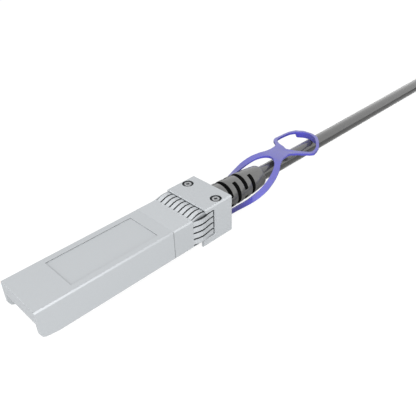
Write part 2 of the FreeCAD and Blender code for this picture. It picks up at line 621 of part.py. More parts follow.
# The boot tapers, so it is lofted between rings of flat sides.
BOOT = [("nose_end + 0.1", "boot_diameter / 2"),
        ("nose_end + boot_length * 0.7", "boot_tip_diameter / 2 + 0.45"),
        ("nose_end + boot_length - 0.9", "boot_tip_diameter / 2"),
        ("nose_end + boot_length", "boot_tip_diameter / 2 - 0.7")]
rings = []
for step, (along, radius) in enumerate(BOOT):
    sketch = flat(boot, "ring%d" % step, "YZ", along)
    loop(sketch, sides("0", "axis_height", radius, BOOT_SIDES))
    sketch.Visibility = False
    rings.append(sketch)
taper = boot.newObject("PartDesign::AdditiveLoft", "strain_relief_boot_taper")
taper.Profile = rings[0]
taper.Sections = rings[1:]
taper.Ruled = True
boot.Tip = taper
doc.recompute()
for name, start, length, width, count in (
        ("neck", "flange_start + flange_length", "nose_end + 0.1 - flange_start - flange_length",
         "neck_diameter", BOOT_SIDES),
        ("flange", "flange_start", "flange_length", "flange_diameter", FLANGE_SIDES)):
    sketch = flat(boot, name, "YZ", start)
    loop(sketch, sides("0", "axis_height", width + " / 2", count))
    pad(boot, sketch, length)
sketch = flat(boot, "bore", "YZ", "flange_start")
round_hole(sketch, "0", "axis_height", "cable_diameter")
pocket(boot, sketch, "nose_end + boot_length - flange_start", backwards=True)
for number in range(4):
    upright = number % 2 == 0
    for side in (1, -1):
        # The slot's floor and its ends, as angles from straight up, or from straight sideways.
        span = 75 if upright else 68
        middle = (90 if upright else 0) + (0 if side > 0 else 180)
        corners = []
        for reach, steps in (("(cable_diameter / 2 + boot_sleeve) / 0.966", 5), ("boot_diameter", -2)):
            for k in range(abs(steps) + 1):
                part_way = 2 * k / abs(steps) - 1
                angle = math.radians(middle + span * (part_way if steps > 0 else -part_way))
                corners.append(("(%s) * %.5f" % (reach, math.cos(angle)),
                                "axis_height + (%s) * %.5f" % (reach, math.sin(angle))))
        sketch = flat(boot, "slot%d%s" % (number, "_a" if side > 0 else "_b"), "YZ",
                      "nose_end + boot_slot_start + boot_slot_pitch * %d" % number)
        loop(sketch, corners)
        pocket(boot, sketch, "boot_slot_width", backwards=True)

# Latch slider, its spring and the pull tab.
slider = new_body("latch_slider")
LEVEL = ("plate_under", "plate_top")
pad_block(slider, "plate", "plate_start", "plate_end - plate_start", ("-side_outer", "side_outer"), LEVEL)
for side in ("", "-"):
    hand = "_left" if side else "_right"
    sketch = flat(slider, "tine" + hand, "XY", "plate_under")
    front = "boss_reach - 2.3"
    loop(sketch, [(front, side + "(tine_inner + 0.3)"), (front + " + 0.3", side + "tine_inner"),
                  ("plate_start + 0.2", side + "tine_inner"), ("plate_start + 0.2", side + "tine_outer"),
                  (front + " + 0.5", side + "tine_outer"), (front, side + "(tine_outer - 0.5)")])
    pad(slider, sketch, "slider_sheet")
    pad_block(slider, "wall" + hand, "plate_start", "plate_end - plate_start",
              (side + "side_inner", side + "side_outer"), ("plate_under", "arm_level + 0.3"))
    pad_block(slider, "tongue" + hand, "plate_end - 0.5", "tab_start + 3.4 - plate_end + 0.5",
              (side + "side_inner", side + "side_outer"), ("arm_level - 0.25", "arm_level + 0.15"))
pad_block(slider, "spring_ear", "plate_start", "slider_sheet",
          ("spring_offset - spring_diameter / 2", "spring_offset + spring_diameter / 2"),
          ("plate_under", "spring_level + spring_diameter / 2"))

# The spring is wound as a chain of short straight lengths, which keeps it light.
WINDS = 6
spring_mean = value("(spring_diameter - spring_wire) / 2")
spring_first = value("plate_start + slider_sheet + spring_wire / 2")
spring_last = value("slot_end - spring_wire / 2")
steps = int(round(value("spring_turns") * WINDS))
wound = []
for step in range(steps + 1):
    angle = 2 * math.pi * step / WINDS
    wound.append(Vector(spring_first + (spring_last - spring_first) * step / steps,
                        value("spring_offset") + spring_mean * math.cos(angle),
                        value("spring_level") + spring_mean * math.sin(angle)))
spring_path = Part.makePolygon(wound)
ahead = (wound[1] - wound[0]).normalize()
aside = ahead.cross(Vector(1, 0, 0)).normalize()
upward = ahead.cross(aside)
rim = [wound[0] + (aside * math.cos(math.pi * k / 3) + upward * math.sin(math.pi * k / 3)) *
       value("spring_wire / 2") for k in range(7)]
spring = doc.addObject("Part::Feature", "return_spring")
spring.Label = "return_spring"
spring.Shape = spring_path.makePipeShell([Part.makePolygon(rim)], True, False, 1)
place(spring)

tab = new_body("pull_tab")
ARM_OUT = "arm_offset + arm_width / 2"
ARM_IN = "arm_offset - arm_width / 2"
REAR = "eye_start + eye_length"
MIDDLE = "eye_start + 3.8"


def leaned(points, side):
    """The points on one side of the tab, with the loop's rear half leaning."""
    chain = []
    for along, across in points:
        if "eye_back" in along:
            along = along.replace("eye_back", REAR)
            chain.append((along, "%s(%s) + eye_lean * ((%s) - (%s))" % (side, across, along, MIDDLE)))
        else:
            chain.append((along, "%s(%s)" % (side, across)))
    return chain


HALF = [("tab_start", ARM_OUT), ("eye_start - 16.6", ARM_OUT), ("eye_start - 14", "%s - 0.07" % ARM_OUT),
        ("eye_start - 12.2", "%s - 0.3" % ARM_OUT), ("eye_start - 10.2", "%s - 0.95" % ARM_OUT),
        ("eye_start - 8.2", "%s - 1.85" % ARM_OUT), ("eye_start - 6.2", "neck_width / 2 + 0.72"),
        ("eye_start - 4.2", "neck_width / 2 + 0.16"), ("eye_start - 2.6", "neck_width / 2"),
        ("eye_start - 1.2", "neck_width / 2 + 0.25"), ("eye_start", "neck_width / 2 + 1.05"),
        ("eye_start + 1.5", "eye_width / 2 - 1.15"), ("eye_start + 2.6", "eye_width / 2 - 0.35"),
        ("eye_start + 3.8", "eye_width / 2"), ("eye_start + 5", "eye_width / 2 + 0.05"),
        ("eye_back - 6.3", "eye_width / 2 + 0.05"), ("eye_back - 4.3", "eye_width / 2 - 0.2"),
        ("eye_back - 2.8", "eye_width / 2 - 0.85"), ("eye_back - 1.5", "eye_width / 2 - 1.85"),
        ("eye_back - 0.55", "eye_width / 2 - 3.4"), ("eye_back - 0.12", "eye_width / 2 - 4.9")]
sketch = flat(tab, "outline", "XY", "arm_level - 2")
loop(sketch, leaned(HALF, "") + [(REAR, "eye_lean * ((%s) - (%s))" % (REAR, MIDDLE))]
     + list(reversed(leaned(HALF, "-"))))
pad(tab, sketch, "eye_level - arm_level + 2")
INNER = [("tab_start - 1", ARM_IN), ("eye_start - 16.6", ARM_IN), ("eye_start - 14", "%s - 0.1" % ARM_IN),
         ("eye_start - 12.2", "%s - 0.38" % ARM_IN), ("eye_start - 10.2", "%s - 1.1" % ARM_IN),
         ("eye_start - 8.2", "%s - 2.15" % ARM_IN), ("eye_start - 6.9", "%s - 3.2" % ARM_IN),
         ("eye_start - 6.35", "%s - 4.1" % ARM_IN)]
sketch = flat(tab, "fork", "XY", "arm_level - 3")
loop(sketch, leaned(INNER, "") + list(reversed(leaned(INNER, "-"))))
pocket(tab, sketch, "12", backwards=True)
HOLE = [("eye_start + 0.95", "0.8"), ("eye_start + 1.35", "2.2"), ("eye_start + 2", "3.5"),
        ("eye_start + 2.9", "eye_width / 2 - eye_rim - 0.75"),
        ("eye_start + 3.8", "eye_width / 2 - eye_rim - 0.2"),
        ("eye_start + 5", "eye_width / 2 - eye_rim"), ("eye_back - 6.3", "eye_width / 2 - eye_rim"),
        ("eye_back - 4.6", "eye_width / 2 - eye_rim - 0.3"),
        ("eye_back - 3.3", "eye_width / 2 - eye_rim - 1"),
        ("eye_back - 2.2", "eye_width / 2 - eye_rim - 2.1"),
        ("eye_back - 1.45", "eye_width / 2 - eye_rim - 3.7")]
sketch = flat(tab, "hole", "XY", "arm_level - 3")
loop(sketch, leaned(HOLE, "") + list(reversed(leaned(HOLE, "-"))))
pocket(tab, sketch, "12", backwards=True)
RUN = [("tab_start", "0", "arm_height"), ("tab_start + 1.6", "0", "arm_height"),
       ("tab_start + 4.6", "-0.25", "arm_height"), ("eye_start - 21.5", "-0.45", "arm_height"),
       ("eye_start - 19.5", "-0.42", "arm_height"), ("eye_start - 18", "-0.25", "arm_height"),
       ("eye_start - 16.4", "0.15", "arm_height"), ("eye_start - 14.4", "0.9", "arm_height + 0.1"),
       ("eye_start - 12.2", "1.85", "arm_height + 0.12"), ("eye_start - 10.2", "2.85", "arm_height + 0.12"),
       ("eye_start - 8.2", "3.75", "arm_height + 0.05"), ("eye_start - 6.2", "4.25", "arm_height - 0.05"),
       ("eye_start - 4.2", "eye_level - arm_level - 0.42", "arm_height - 0.1"),
       ("eye_start - 1.2", "eye_level - arm_level - 0.45", "arm_height - 0.15"),
       ("eye_start + 1.5", "eye_level - arm_level - 0.5", "arm_height - 0.1"),
       (REAR + " + 1", "eye_level - arm_level - 0.5", "arm_height - 0.1")]
sketch = flat(tab, "over", "XZ")
loop(sketch, [(along, "arm_level + %s + (%s) / 2" % (rise, high)) for along, rise, high in RUN]
     + [(REAR + " + 1", "eye_level + 3"), ("tab_start", "eye_level + 3")])
pocket(tab, sketch, "eye_width * 2", middle=True)
sketch = flat(tab, "under", "XZ")
RUN_LOW = RUN[:-1]
low_chain = [(along, "arm_level + %s - (%s) / 2" % (rise, high)) for along, rise, high in RUN_LOW]
grip = REAR + " - grip_length"
loop(sketch, low_chain + [(grip + " - 0.3", "eye_level - arm_height + 0.1"),
                          (grip, "eye_level - grip_height"),
                          (REAR + " + 1", "eye_level - grip_height"), (REAR + " + 1", "arm_level - 4"),
                          ("tab_start", "arm_level - 4")])
pocket(tab, sketch, "eye_width * 2", middle=True)
cut_block(tab, "cable_notch", grip + " - 1", "grip_length + 3",
          ("-(cable_diameter / 2 + 0.5)", "cable_diameter / 2 + 0.9"),
          ("axis_height", "axis_height + cable_diameter / 2 + 0.35"))
for side in ("", "-"):
    cut_block(tab, "tongue_seat" + ("_left" if side else "_right"), "tab_start", "3.4",
              (side + "side_inner", side + "side_outer"), ("arm_level - 0.25", "arm_level + 0.15"))

NEAR = [cover, base, collar, screws, card, contacts, chip, parts_row, pairs, ends, ferrule, boot, slider,
        spring, tab]

# Far plug: each near piece again, on the cable's other end.
FAR = []
for item in NEAR:
    twin = doc.addObject("Part::Compound", "far_" + item.Label)
    twin.Label = "far_" + item.Label
    twin.Links = [item]
    twin.setExpression("Placement.Base.x", formula("far_shift"))
    twin.setExpression("Placement.Base.y", formula("-far_side"))
    FAR.append(twin)


# Cable: straight runs joined by arcs, with the spare length as a closed coil.
def route(points):
    """A wire through the points with every corner rounded by a tangent arc."""
    spots = [Vector(*point) for point in points]
    edges = []
    start = spots[0]
    for before, corner, after in zip(spots, spots[1:], spots[2:]):
        back = (before - corner).normalize()
        ahead = (after - corner).normalize()
        reach = 0.45 * min((before - corner).Length, (after - corner).Length)
        half_turn = (math.pi - back.getAngle(ahead)) / 2
        radius = reach / math.tan(half_turn)
        print("bend radius %.1f mm" % radius)
        first = corner + back * reach
        last = corner + ahead * reach
        inward = (back + ahead).normalize()
        centre = corner + inward * (radius / math.cos(half_turn))
        middle = centre - inward * radius
        edges.append(Part.LineSegment(start, first).toShape())
        edges.append(Part.Arc(first, middle, last).toShape())
        start = last
    edges.append(Part.LineSegment(start, spots[-1]).toShape())
    return Part.Wire(edges)


def tube(label, points):
    path = doc.addObject("Part::Feature", label + "_path")
    path.Shape = route(points)
    ring = doc.addObject("Part::Circle", label + "_ring")
    ring.setExpression("Radius", formula("cable_diameter / 2"))
    start, ahead = Vector(*points[0]), Vector(*points[1]) - Vector(*points[0])
    ring.Placement = FreeCAD.Placement(start, FreeCAD.Rotation(Vector(0, 0, 1), ahead))
    cord = doc.addObject("Part::Sweep", label)
    cord.Label = label
    cord.Sections = [ring]
    cord.Spine = (path, ["Edge%d" % (k + 1) for k in range(len(path.Shape.Edges))])
    cord.Solid = True
    cord.Frenet = False
    place(cord)
    doc.recompute()
    return cord


LEVEL_NOW = value("axis_height")
FAR_Y = -value("far_side")
COIL_SIDES = 36
LEAD_END = value("lead_end")
lead = tube("cable_lead", [(value("cable_entry"), 0, LEVEL_NOW), (value("lead_bend"), 0, LEVEL_NOW),
                           (LEAD_END, 0, value("upper_turn"))])
far_lead = tube("far_cable_lead", [(LEAD_END, FAR_Y, value("lower_turn")),
                                   (value("far_bend"), FAR_Y, LEVEL_NOW),
                                   (value("cable_entry + far_shift"), FAR_Y, LEVEL_NOW)])

ring_coil = new_body("cable_coil")
place(ring_coil, "coil_place", "-far_side / 2")
sketch = flat(ring_coil, "ring", "XY")
loop(sketch, sides("0", "0", "coil_outer / 2", COIL_SIDES))
loop(sketch, sides("0", "0", "coil_inner / 2", COIL_SIDES))
pad(ring_coil, sketch, "coil_height")

tie = new_body("coil_tie")
place(tie, "coil_place", "-far_side / 2")
sketch = flat(tie, "band", "XZ", "-tie_width / 2")
loop(sketch, box(("coil_inner / 2 - tie_sheet", "coil_outer / 2 + tie_sheet"),
                 ("0", "coil_height + tie_sheet")))
pad(tie, sketch, "tie_width")
sketch = flat(tie, "opening", "XZ", "-tie_width")
loop(sketch, box(("coil_inner / 2 + 0.1", "coil_outer / 2 - 0.1"), ("0.3", "coil_height - 0.1")))
pocket(tie, sketch, "tie_width * 3", backwards=True)

doc.recompute()

PIECES = NEAR + FAR + [lead, ring_coil, far_lead, tie]
for item in doc.Objects:
    bad = [word for word in item.State if word in ("Invalid", "Error")]
    if bad:
        raise RuntimeError("%s: %s" % (item.Name, bad))
total = 0
for item in PIECES:
    shape = item.Shape
    if shape.isNull() or not shape.isValid():
        raise RuntimeError("%s has no valid shape" % item.Label)
    if not shape.Solids:
        raise RuntimeError("%s has no solid" % item.Label)
    corner = shape.BoundBox
    fine = min(max(corner.DiagonalLength * 0.0002, 0.01), 0.5)
    facets = len(shape.tessellate(fine)[1])
    total += facets
    print("%-26s %2d solids %9.3f mm3 %5d facets  X %.2f..%.2f Y %.2f..%.2f Z %.2f..%.2f" % (
        item.Label, len(shape.Solids), shape.Volume, facets, corner.XMin, corner.XMax,
        corner.YMin, corner.YMax, corner.ZMin, corner.ZMax))
    shape.exportStep("parts/%s.step" % item.Label)
print("%d pieces, %d facets" % (len(PIECES), total))
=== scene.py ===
# %% [markdown]
# # A copper network cable with two plugs, dressed for its picture
# The solids come from the CAD step. Here every visible piece gets its finish, and the pieces that a
# plain solid can't show well are modelled again by hand. All lengths are in metres. X runs along the
# plug to its cable, and Z = 0 is the surface that the plug lies on.

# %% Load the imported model
import bmesh
import bpy
import math
from mathutils import Matrix, Vector


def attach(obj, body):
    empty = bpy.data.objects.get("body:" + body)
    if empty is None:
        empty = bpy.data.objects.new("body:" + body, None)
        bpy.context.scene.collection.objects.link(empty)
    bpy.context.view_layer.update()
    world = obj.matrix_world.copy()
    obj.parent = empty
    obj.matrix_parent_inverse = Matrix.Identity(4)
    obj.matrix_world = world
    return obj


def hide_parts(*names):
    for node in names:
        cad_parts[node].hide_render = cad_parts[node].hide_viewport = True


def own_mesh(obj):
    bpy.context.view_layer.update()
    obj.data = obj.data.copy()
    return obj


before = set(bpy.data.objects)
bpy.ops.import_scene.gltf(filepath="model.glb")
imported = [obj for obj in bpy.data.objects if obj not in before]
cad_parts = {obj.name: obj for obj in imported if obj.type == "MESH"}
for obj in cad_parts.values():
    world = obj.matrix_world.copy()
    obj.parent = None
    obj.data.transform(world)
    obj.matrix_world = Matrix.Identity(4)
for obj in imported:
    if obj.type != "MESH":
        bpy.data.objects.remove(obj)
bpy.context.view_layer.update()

# %% [markdown]
# ## One ruler for the whole scene
# The drawing of the plug is read in millimetres from its tip, because that is how plug makers draw it.
# One small helper turns such a place into the part's own frame, whose origin is under the nose. The far
# plug is the same, moved by one vector.

# %% Places along the plug
NOSE_MIDDLE = 48.4
APART = Vector((0.088, -0.052, 0))
AXIS = 5.6


def spot(x, y, z):
    """A point given in millimetres from the near plug's tip, in metres in the part's frame."""
    return Vector(((x - NOSE_MIDDLE) / 1000, y / 1000, z / 1000))


print("tip of the near plug", [round(v, 5) for v in spot(0, 0, 0)])

# %% [markdown]
# ## The camera
# The photograph was taken from close by, in front of the tip, above and to one side. The
# camera's place, its three angles and its lens were worked out from the plug's known sizes.

# %% Camera
PICTURE, SENSOR = 416.0, 36.0
LENS_PIXELS = 547.0
CAMERA_AT = (-26.727, -82.892, 82.239)
yaw, pitch, roll = 0.812, -0.598, -0.033
forward = Vector((math.cos(yaw) * math.cos(pitch), math.sin(yaw) * math.cos(pitch), math.sin(pitch)))
level = Vector((math.sin(yaw), -math.cos(yaw), 0.0))
rising = level.cross(forward)
across = level * math.cos(roll) + rising * math.sin(roll)
upward = rising * math.cos(roll) - level * math.sin(roll)
lens = bpy.data.cameras.new("camera")
lens.sensor_width = SENSOR
lens.lens = SENSOR * LENS_PIXELS / PICTURE
lens.clip_start = 0.005
lens.clip_end = 10.0
camera = bpy.data.objects.new("camera", lens)
bpy.context.scene.collection.objects.link(camera)
place = Matrix((across, upward, -forward)).transposed().to_4x4()
place.translation = spot(*CAMERA_AT)
camera.matrix_world = place
bpy.context.scene.camera = camera
print("camera", [round(v, 4) for v in camera.location], "lens %.2f mm" % lens.lens)

# %% [markdown]
# ## The cable
# A direct attach cable is round, stiff and four millimetres thick. The photograph shows only its first
# stretch, so the rest is wound into a neat tied coil on the same surface, out of the picture, and
# comes back to the far plug. It is one smooth spline through listed points. The turns of the
# coil are added by a loop, sixteen points a turn.

# %% The cable's route
CABLE = 4.0
COIL = (205.0, -26.0)
UPPER, LOWER = 6.0, 2.0
OUTER, INNER, TUCK = 26, 16, 0.9
route = [(47.6, 0, 5.6), (144, 0, 5.6), (165, 0, 5.6), (186, 0, 6.0)]


def turn_point(angle, radius, height):
    """A point on the coil; the cable runs clockwise seen from above."""
    return (COIL[0] + radius * math.sin(angle), COIL[1] + radius * math.cos(angle), height)


STEP = math.pi / 8
for k in range(0, 40):
    route.append(turn_point(k * STEP, OUTER - (OUTER - INNER) * k / 40, UPPER))
for k in range(0, 8):
    sink = k / 8
    route.append(turn_point(5 * math.pi + k * STEP, INNER - TUCK * math.sin(sink * math.pi),
                            LOWER + (UPPER - LOWER) * math.cos(sink * math.pi / 2)))
for k in range(0, 41):
    route.append(turn_point(6 * math.pi + k * STEP, INNER + (OUTER - INNER) * k / 40, LOWER))
route += [(194, -52, 2.4), (166.8, -52, 5.6), (135.6, -52, 5.6)]
print("route of", len(route), "points")

# %% The cable as a curve
line = bpy.data.curves.new("cable", "CURVE")
line.dimensions = "3D"
spline = line.splines.new("NURBS")
spline.points.add(len(route) - 1)
for point, place_mm in zip(spline.points, route):
    point.co = (*spot(*place_mm), 1.0)
    point.radius = CABLE / 2000
spline.order_u = 3
spline.use_endpoint_u = True
spline.resolution_u = 8
line.bevel_depth = 1.0
line.bevel_resolution = 5
line.use_fill_caps = True
cable = bpy.data.objects.new("cable", line)
bpy.context.scene.collection.objects.link(cable)
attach(cable, "plugs_and_cable")
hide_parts("cable_lead", "cable_coil", "far_cable_lead")
print("cable", "%.0f mm of points" % sum(math.dist(a, b) for a, b in zip(route, route[1:])))

# %% [markdown]
# ## Working by hand
# Every new piece starts as one of Blender's primitives and is shaped with the same tools that a hand
# would use: extrude, inset, scale and bevel in edit mode. A few small helpers keep the cells short. One
# leaves a single object selected, and another selects faces by where they are and where they point.

# %% Helpers for working in edit mode
def only(item):
    """Leaves one object selected and active, in object mode."""
    if bpy.context.object and bpy.context.object.mode != "OBJECT":
        bpy.ops.object.mode_set(mode="OBJECT")
    bpy.ops.object.select_all(action="DESELECT")
    item.select_set(True)
    bpy.context.view_layer.objects.active = item


def start(name):
    """Names the primitive that was just added and moves its place into its mesh."""
    item = bpy.context.object
    item.name = name
    item.data.name = name
    only(item)
    bpy.ops.object.transform_apply(location=True, rotation=True, scale=True)
    return item


def take(item, test, kind="faces"):
    """Selects the faces, edges or corners that pass a test on their place and, for faces, their normal."""
    if item.mode != "EDIT":
        only(item)
        bpy.ops.object.mode_set(mode="EDIT")
    mode = {"faces": "FACE", "edges": "EDGE", "verts": "VERT"}[kind]
    bpy.ops.mesh.select_mode(type=mode)
    bpy.ops.mesh.select_all(action="DESELECT")
    shape = bmesh.from_edit_mesh(item.data)
    for part in getattr(shape, kind):
        if kind == "faces":
            part.select_set(bool(test(part.calc_center_median(), part.normal)))
        elif kind == "edges":
            part.select_set(bool(test(part.verts[0].co, part.verts[1].co)))
        else:
            part.select_set(bool(test(part.co)))
    bmesh.update_edit_mesh(item.data)


def add_modifier(item, kind, **values):
    """Adds a modifier, sets its values and applies it."""
    only(item)
    modifier = item.modifiers.new(kind.lower(), kind)
    for key, value in values.items():
        setattr(modifier, key, value)
    bpy.ops.object.modifier_apply(modifier=modifier.name)


def settle(item, angle=35):
    """Smooths all but the piece's sharp edges."""
    only(item)
    bpy.ops.object.shade_smooth_by_angle(angle=math.radians(angle))
    print(item.name, len(item.data.polygons), "faces")
    return item


def twin(item, name):
    """A copy with its own mesh, moved to the far plug."""
    copy = item.copy()
    copy.data = item.data.copy()
    copy.name = name
    copy.data.name = name
    copy.data.transform(Matrix.Translation(APART))
    bpy.context.scene.collection.objects.link(copy)
    return copy


def extrude_through(item, sections):
    """Shapes a square into the first section of four corners, and extrudes it through the others."""
    take(item, lambda middle, normal: True)
    shape = bmesh.from_edit_mesh(item.data)
    for corner, place_to in zip(shape.faces[:][0].verts, sections[0]):
        corner.co = place_to
    bmesh.update_edit_mesh(item.data)
    for here, following in zip(sections, sections[1:]):
        bpy.ops.mesh.extrude_region_move(TRANSFORM_OT_translate={"value": (0, 0, 0)})
        shape = bmesh.from_edit_mesh(item.data)
        moving = [v for v in shape.verts if v.select]
        for place_from, place_to in zip(here, following):
            nearest = min(moving, key=lambda v: (v.co - place_from).length)
            moving.remove(nearest)
            nearest.co = place_to
        bmesh.update_edit_mesh(item.data)


print("helpers ready")

# %% [markdown]
# ## The pull tab
# The tab is one soft moulding: two arms leave the nose, rise and join above the cable in a short neck,
# and spread again into a finger loop with a deeper grip at its rear. Each arm is a flat strap that
# stands on edge beside the nose and turns flat as it rises, so it bends easily but can't buckle. Half of
# the tab is one face, the strap's cross-section, extruded from station to station.

# %% The arm's stations: along, middle across, middle height, width, thickness and turn in degrees
ARM = [(52.6, 5.65, 4.75, 1.2, 0.5, 0), (54.2, 5.65, 4.75, 1.3, 0.5, 0), (57.2, 5.65, 4.62, 1.38, 0.45, 0),
       (59.2, 5.65, 4.5, 1.4, 0.45, 5), (60.7, 5.65, 4.45, 1.45, 0.45, 12), (62.7, 5.7, 4.6, 1.55, 0.45, 28),
       (64.2, 5.75, 4.82, 1.65, 0.45, 42), (65.8, 5.75, 5.15, 1.7, 0.45, 56), (67.0, 5.72, 5.5, 1.75, 0.45, 67),
       (68.2, 5.65, 5.92, 1.8, 0.45, 76), (70.0, 5.42, 6.7, 1.85, 0.48, 86), (71.0, 5.22, 7.17, 1.88, 0.5, 90),
       (72.0, 4.9, 7.62, 1.9, 0.52, 90), (73.0, 4.52, 8.05, 1.94, 0.56, 90), (74.0, 4.02, 8.45, 2.0, 0.62, 90)]
# the neck's stations: along, inner edge, outer edge and height of the middle
NECK = [(75.0, 2.2, 4.3, 8.78), (75.6, 1.4, 4.0, 8.95), (75.95, 0.7, 3.82, 9.02), (76.1, 0.0, 3.75, 9.05),
        (77.2, 0.0, 3.25, 9.1), (78.3, 0.0, 3.0, 9.1), (79.6, 0.0, 2.9, 9.1), (80.9, 0.0, 3.0, 9.1),
        (81.9, 0.0, 3.3, 9.1), (82.6, 0.0, 3.7, 9.1)]
# the loop's stations: inner corner, outer corner and height of the underside
LOOP = [((83.0, 1.0), (83.0, 4.05), 8.75), ((83.35, 2.3), (83.75, 4.75), 8.75), ((83.95, 3.5), (84.5, 5.4), 8.75),
        ((84.75, 4.6), (85.3, 5.98), 8.75), ((85.8, 5.4), (86.2, 6.3), 8.75), ((87.2, 5.75), (87.4, 6.42), 8.75),
        ((88.5, 5.72), (88.8, 6.35), 8.75), ((89.8, 5.35), (90.2, 5.98), 8.75), ((91.0, 4.75), (91.5, 5.35), 8.75),
        ((92.0, 4.0), (92.6, 4.6), 8.75), ((92.6, 3.45), (93.2, 4.05), 8.72), ((92.8, 3.2), (93.45, 3.8), 7.68),
        ((93.0, 2.9), (93.75, 3.45), 7.62), ((93.6, 1.9), (94.4, 2.3), 7.62), ((94.0, 0.9), (94.85, 1.1), 7.62),
        ((94.1, 0.0), (94.95, 0.0), 7.62)]
TOP = 9.45
NECK_THICK = 0.7
LEAN, LEAN_FROM, LEAN_BLEND = 0.12, 80, 0.004
LOOP_MIDDLE = 85.5


def tab_sections():
    """The four corners of each cross-section: inner low, outer low, outer high and inner high."""
    sections = []
    for x, across, height, width, thick, turn in ARM:
        angle = math.radians(turn)
        ahead = Vector((0, -math.sin(angle), math.cos(angle))) * width / 2000
        out = Vector((0, math.cos(angle), math.sin(angle))) * thick / 2000
        middle = spot(x, across, height)
        sections.append([middle + ahead - out, middle - ahead - out, middle - ahead + out, middle + ahead + out])
    for x, inner, outer, height in NECK:
        low, high = height - NECK_THICK / 2, height + NECK_THICK / 2
        sections.append([spot(x, inner, low), spot(x, outer, low), spot(x, outer, high), spot(x, inner, high)])
    for inner, outer, low in LOOP:
        sections.append([spot(*inner, low), spot(*outer, low), spot(*outer, TOP), spot(*inner, TOP)])
    return sections


sections = tab_sections()
print(len(sections), "cross-sections")

# %% Extrude the strap's cross-section
bpy.ops.object.select_all(action="DESELECT")
bpy.ops.mesh.primitive_plane_add(size=0.001, location=spot(*ARM[0][:3]), rotation=(0, math.pi / 2, 0))
tab = start("pull_tab_moulding")
extrude_through(tab, sections)
print("half a tab,", len(tab.data.polygons), "faces")

# %% Open the middle, mirror, smooth and round the tab
take(tab, lambda middle, normal: abs(middle.y) < 1e-6)
bpy.ops.mesh.delete(type="FACE")
add_modifier(tab, "MIRROR", use_axis=(False, True, False), use_clip=True, merge_threshold=0.00002)
only(tab)
bpy.ops.object.mode_set(mode="EDIT")
bpy.ops.mesh.select_all(action="SELECT")
bpy.ops.mesh.remove_doubles(threshold=0.00001)
bpy.ops.mesh.normals_make_consistent(inside=False)
bpy.ops.mesh.select_all(action="DESELECT")
bpy.ops.mesh.select_mode(type="EDGE")
bpy.ops.mesh.edges_select_sharp(sharpness=math.radians(45))
bpy.ops.transform.edge_crease(value=0.92)
bpy.ops.object.mode_set(mode="OBJECT")
add_modifier(tab, "SUBSURF", levels=3, render_levels=3)
pivot, lean_from = spot(LOOP_MIDDLE, 0, 0), spot(LEAN_FROM, 0, 0).x
take(tab, lambda co: co.x > lean_from, "verts")
shape = bmesh.from_edit_mesh(tab.data)
for corner in (v for v in shape.verts if v.select):
    part = min(1.0, (corner.co.x - lean_from) / LEAN_BLEND)
    arm = Vector((corner.co.x - pivot.x, corner.co.y, 0))
    turned = Matrix.Rotation(LEAN * part * part * (3 - 2 * part), 3, "Z") @ arm
    corner.co.x = pivot.x + turned.x
    corner.co.y = turned.y
bmesh.update_edit_mesh(tab.data)
bpy.ops.object.mode_set(mode="OBJECT")
print("whole tab,", len(tab.data.polygons), "faces")

# %% Give the soft loop its own uneven shape: from x, from y, to x, to y and drop
PULLS = [(78.3, -3.0, 78.3, -3.0, 0), (78.3, 3.0, 78.3, 3.0, 0), (78.3, 0, 78.3, 0, 0), (80.95, -3.0, 80.8, -2.8, 0),
         (82.9, -3.8, 82.1, -3.4, -0.15), (83.4, -4.3, 82.9, -4.1, -0.35), (84.3, -4.9, 83.9, -5.0, -0.5),
         (85.15, -5.5, 84.7, -5.8, -0.6), (86.0, -6.0, 85.5, -6.6, -0.7), (86.95, -6.2, 86.3, -7.15, -0.73),
         (88.15, -6.15, 87.6, -6.95, -0.6), (89.55, -5.9, 89.4, -6.5, -0.35), (90.9, -5.4, 90.7, -5.65, -0.15),
         (92.1, -4.6, 91.8, -4.6, 0), (94.6, -1.2, 94.5, -1.1, 0), (94.9, 1.1, 94.8, 1.0, 0),
         (83.1, -1.25, 82.7, -1.2, 0), (83.6, -2.5, 83.6, -2.6, -0.3), (84.4, -3.65, 84.8, -3.6, -0.45),
         (85.3, -4.65, 85.9, -4.75, -0.6), (86.45, -5.3, 86.9, -5.8, -0.65), (87.9, -5.5, 88.1, -5.75, -0.45),
         (89.15, -5.3, 89.1, -5.3, -0.3), (90.4, -4.8, 90.1, -4.7, -0.15), (91.5, -4.05, 91.2, -3.8, 0),
         (83.9, 5.25, 83.6, 5.5, 0), (84.6, 5.9, 84.3, 6.1, 0), (85.45, 6.35, 85.4, 6.25, 0),
         (86.6, 6.6, 86.5, 6.15, 0), (88.0, 6.7, 88.0, 6.05, 0), (89.45, 6.5, 89.7, 6.0, 0),
         (90.8, 6.05, 91.2, 5.85, 0), (92.0, 5.4, 92.4, 5.4, 0), (92.95, 4.7, 93.4, 4.9, 0), (94.1, 3.35, 94.4, 3.5, 0),
         (84.2, 4.5, 84.45, 4.6, 0), (85.15, 5.4, 85.3, 5.0, 0), (86.5, 5.9, 86.7, 5.2, 0), (87.8, 6.05, 88.1, 5.25, 0),
         (89.15, 5.85, 89.5, 5.15, 0), (90.4, 5.35, 90.8, 4.9, 0), (91.5, 4.75, 91.8, 4.3, 0),
         (92.6, 3.8, 92.7, 3.5, 0), (93.3, 2.85, 93.3, 2.7, 0), (94.05, 0.1, 94.0, 0.1, 0), (83.1, 2.05, 83.2, 2.2, 0)]
PULLED_FROM, PULL_REACH = 79, 8e-7
take(tab, lambda co: co.x > spot(PULLED_FROM, 0, 0).x, "verts")
shape = bmesh.from_edit_mesh(tab.data)
for corner in (v for v in shape.verts if v.select):
    moved, weights = Vector((0, 0, 0)), 0.0
    for from_x, from_y, to_x, to_y, drop in PULLS:
        weight = 1 / ((corner.co.xy - spot(from_x, from_y, 0).xy).length_squared + PULL_REACH) ** 2
        moved += Vector((to_x - from_x, to_y - from_y, drop)) * weight / 1000
        weights += weight
    corner.co += moved / weights
bmesh.update_edit_mesh(tab.data)
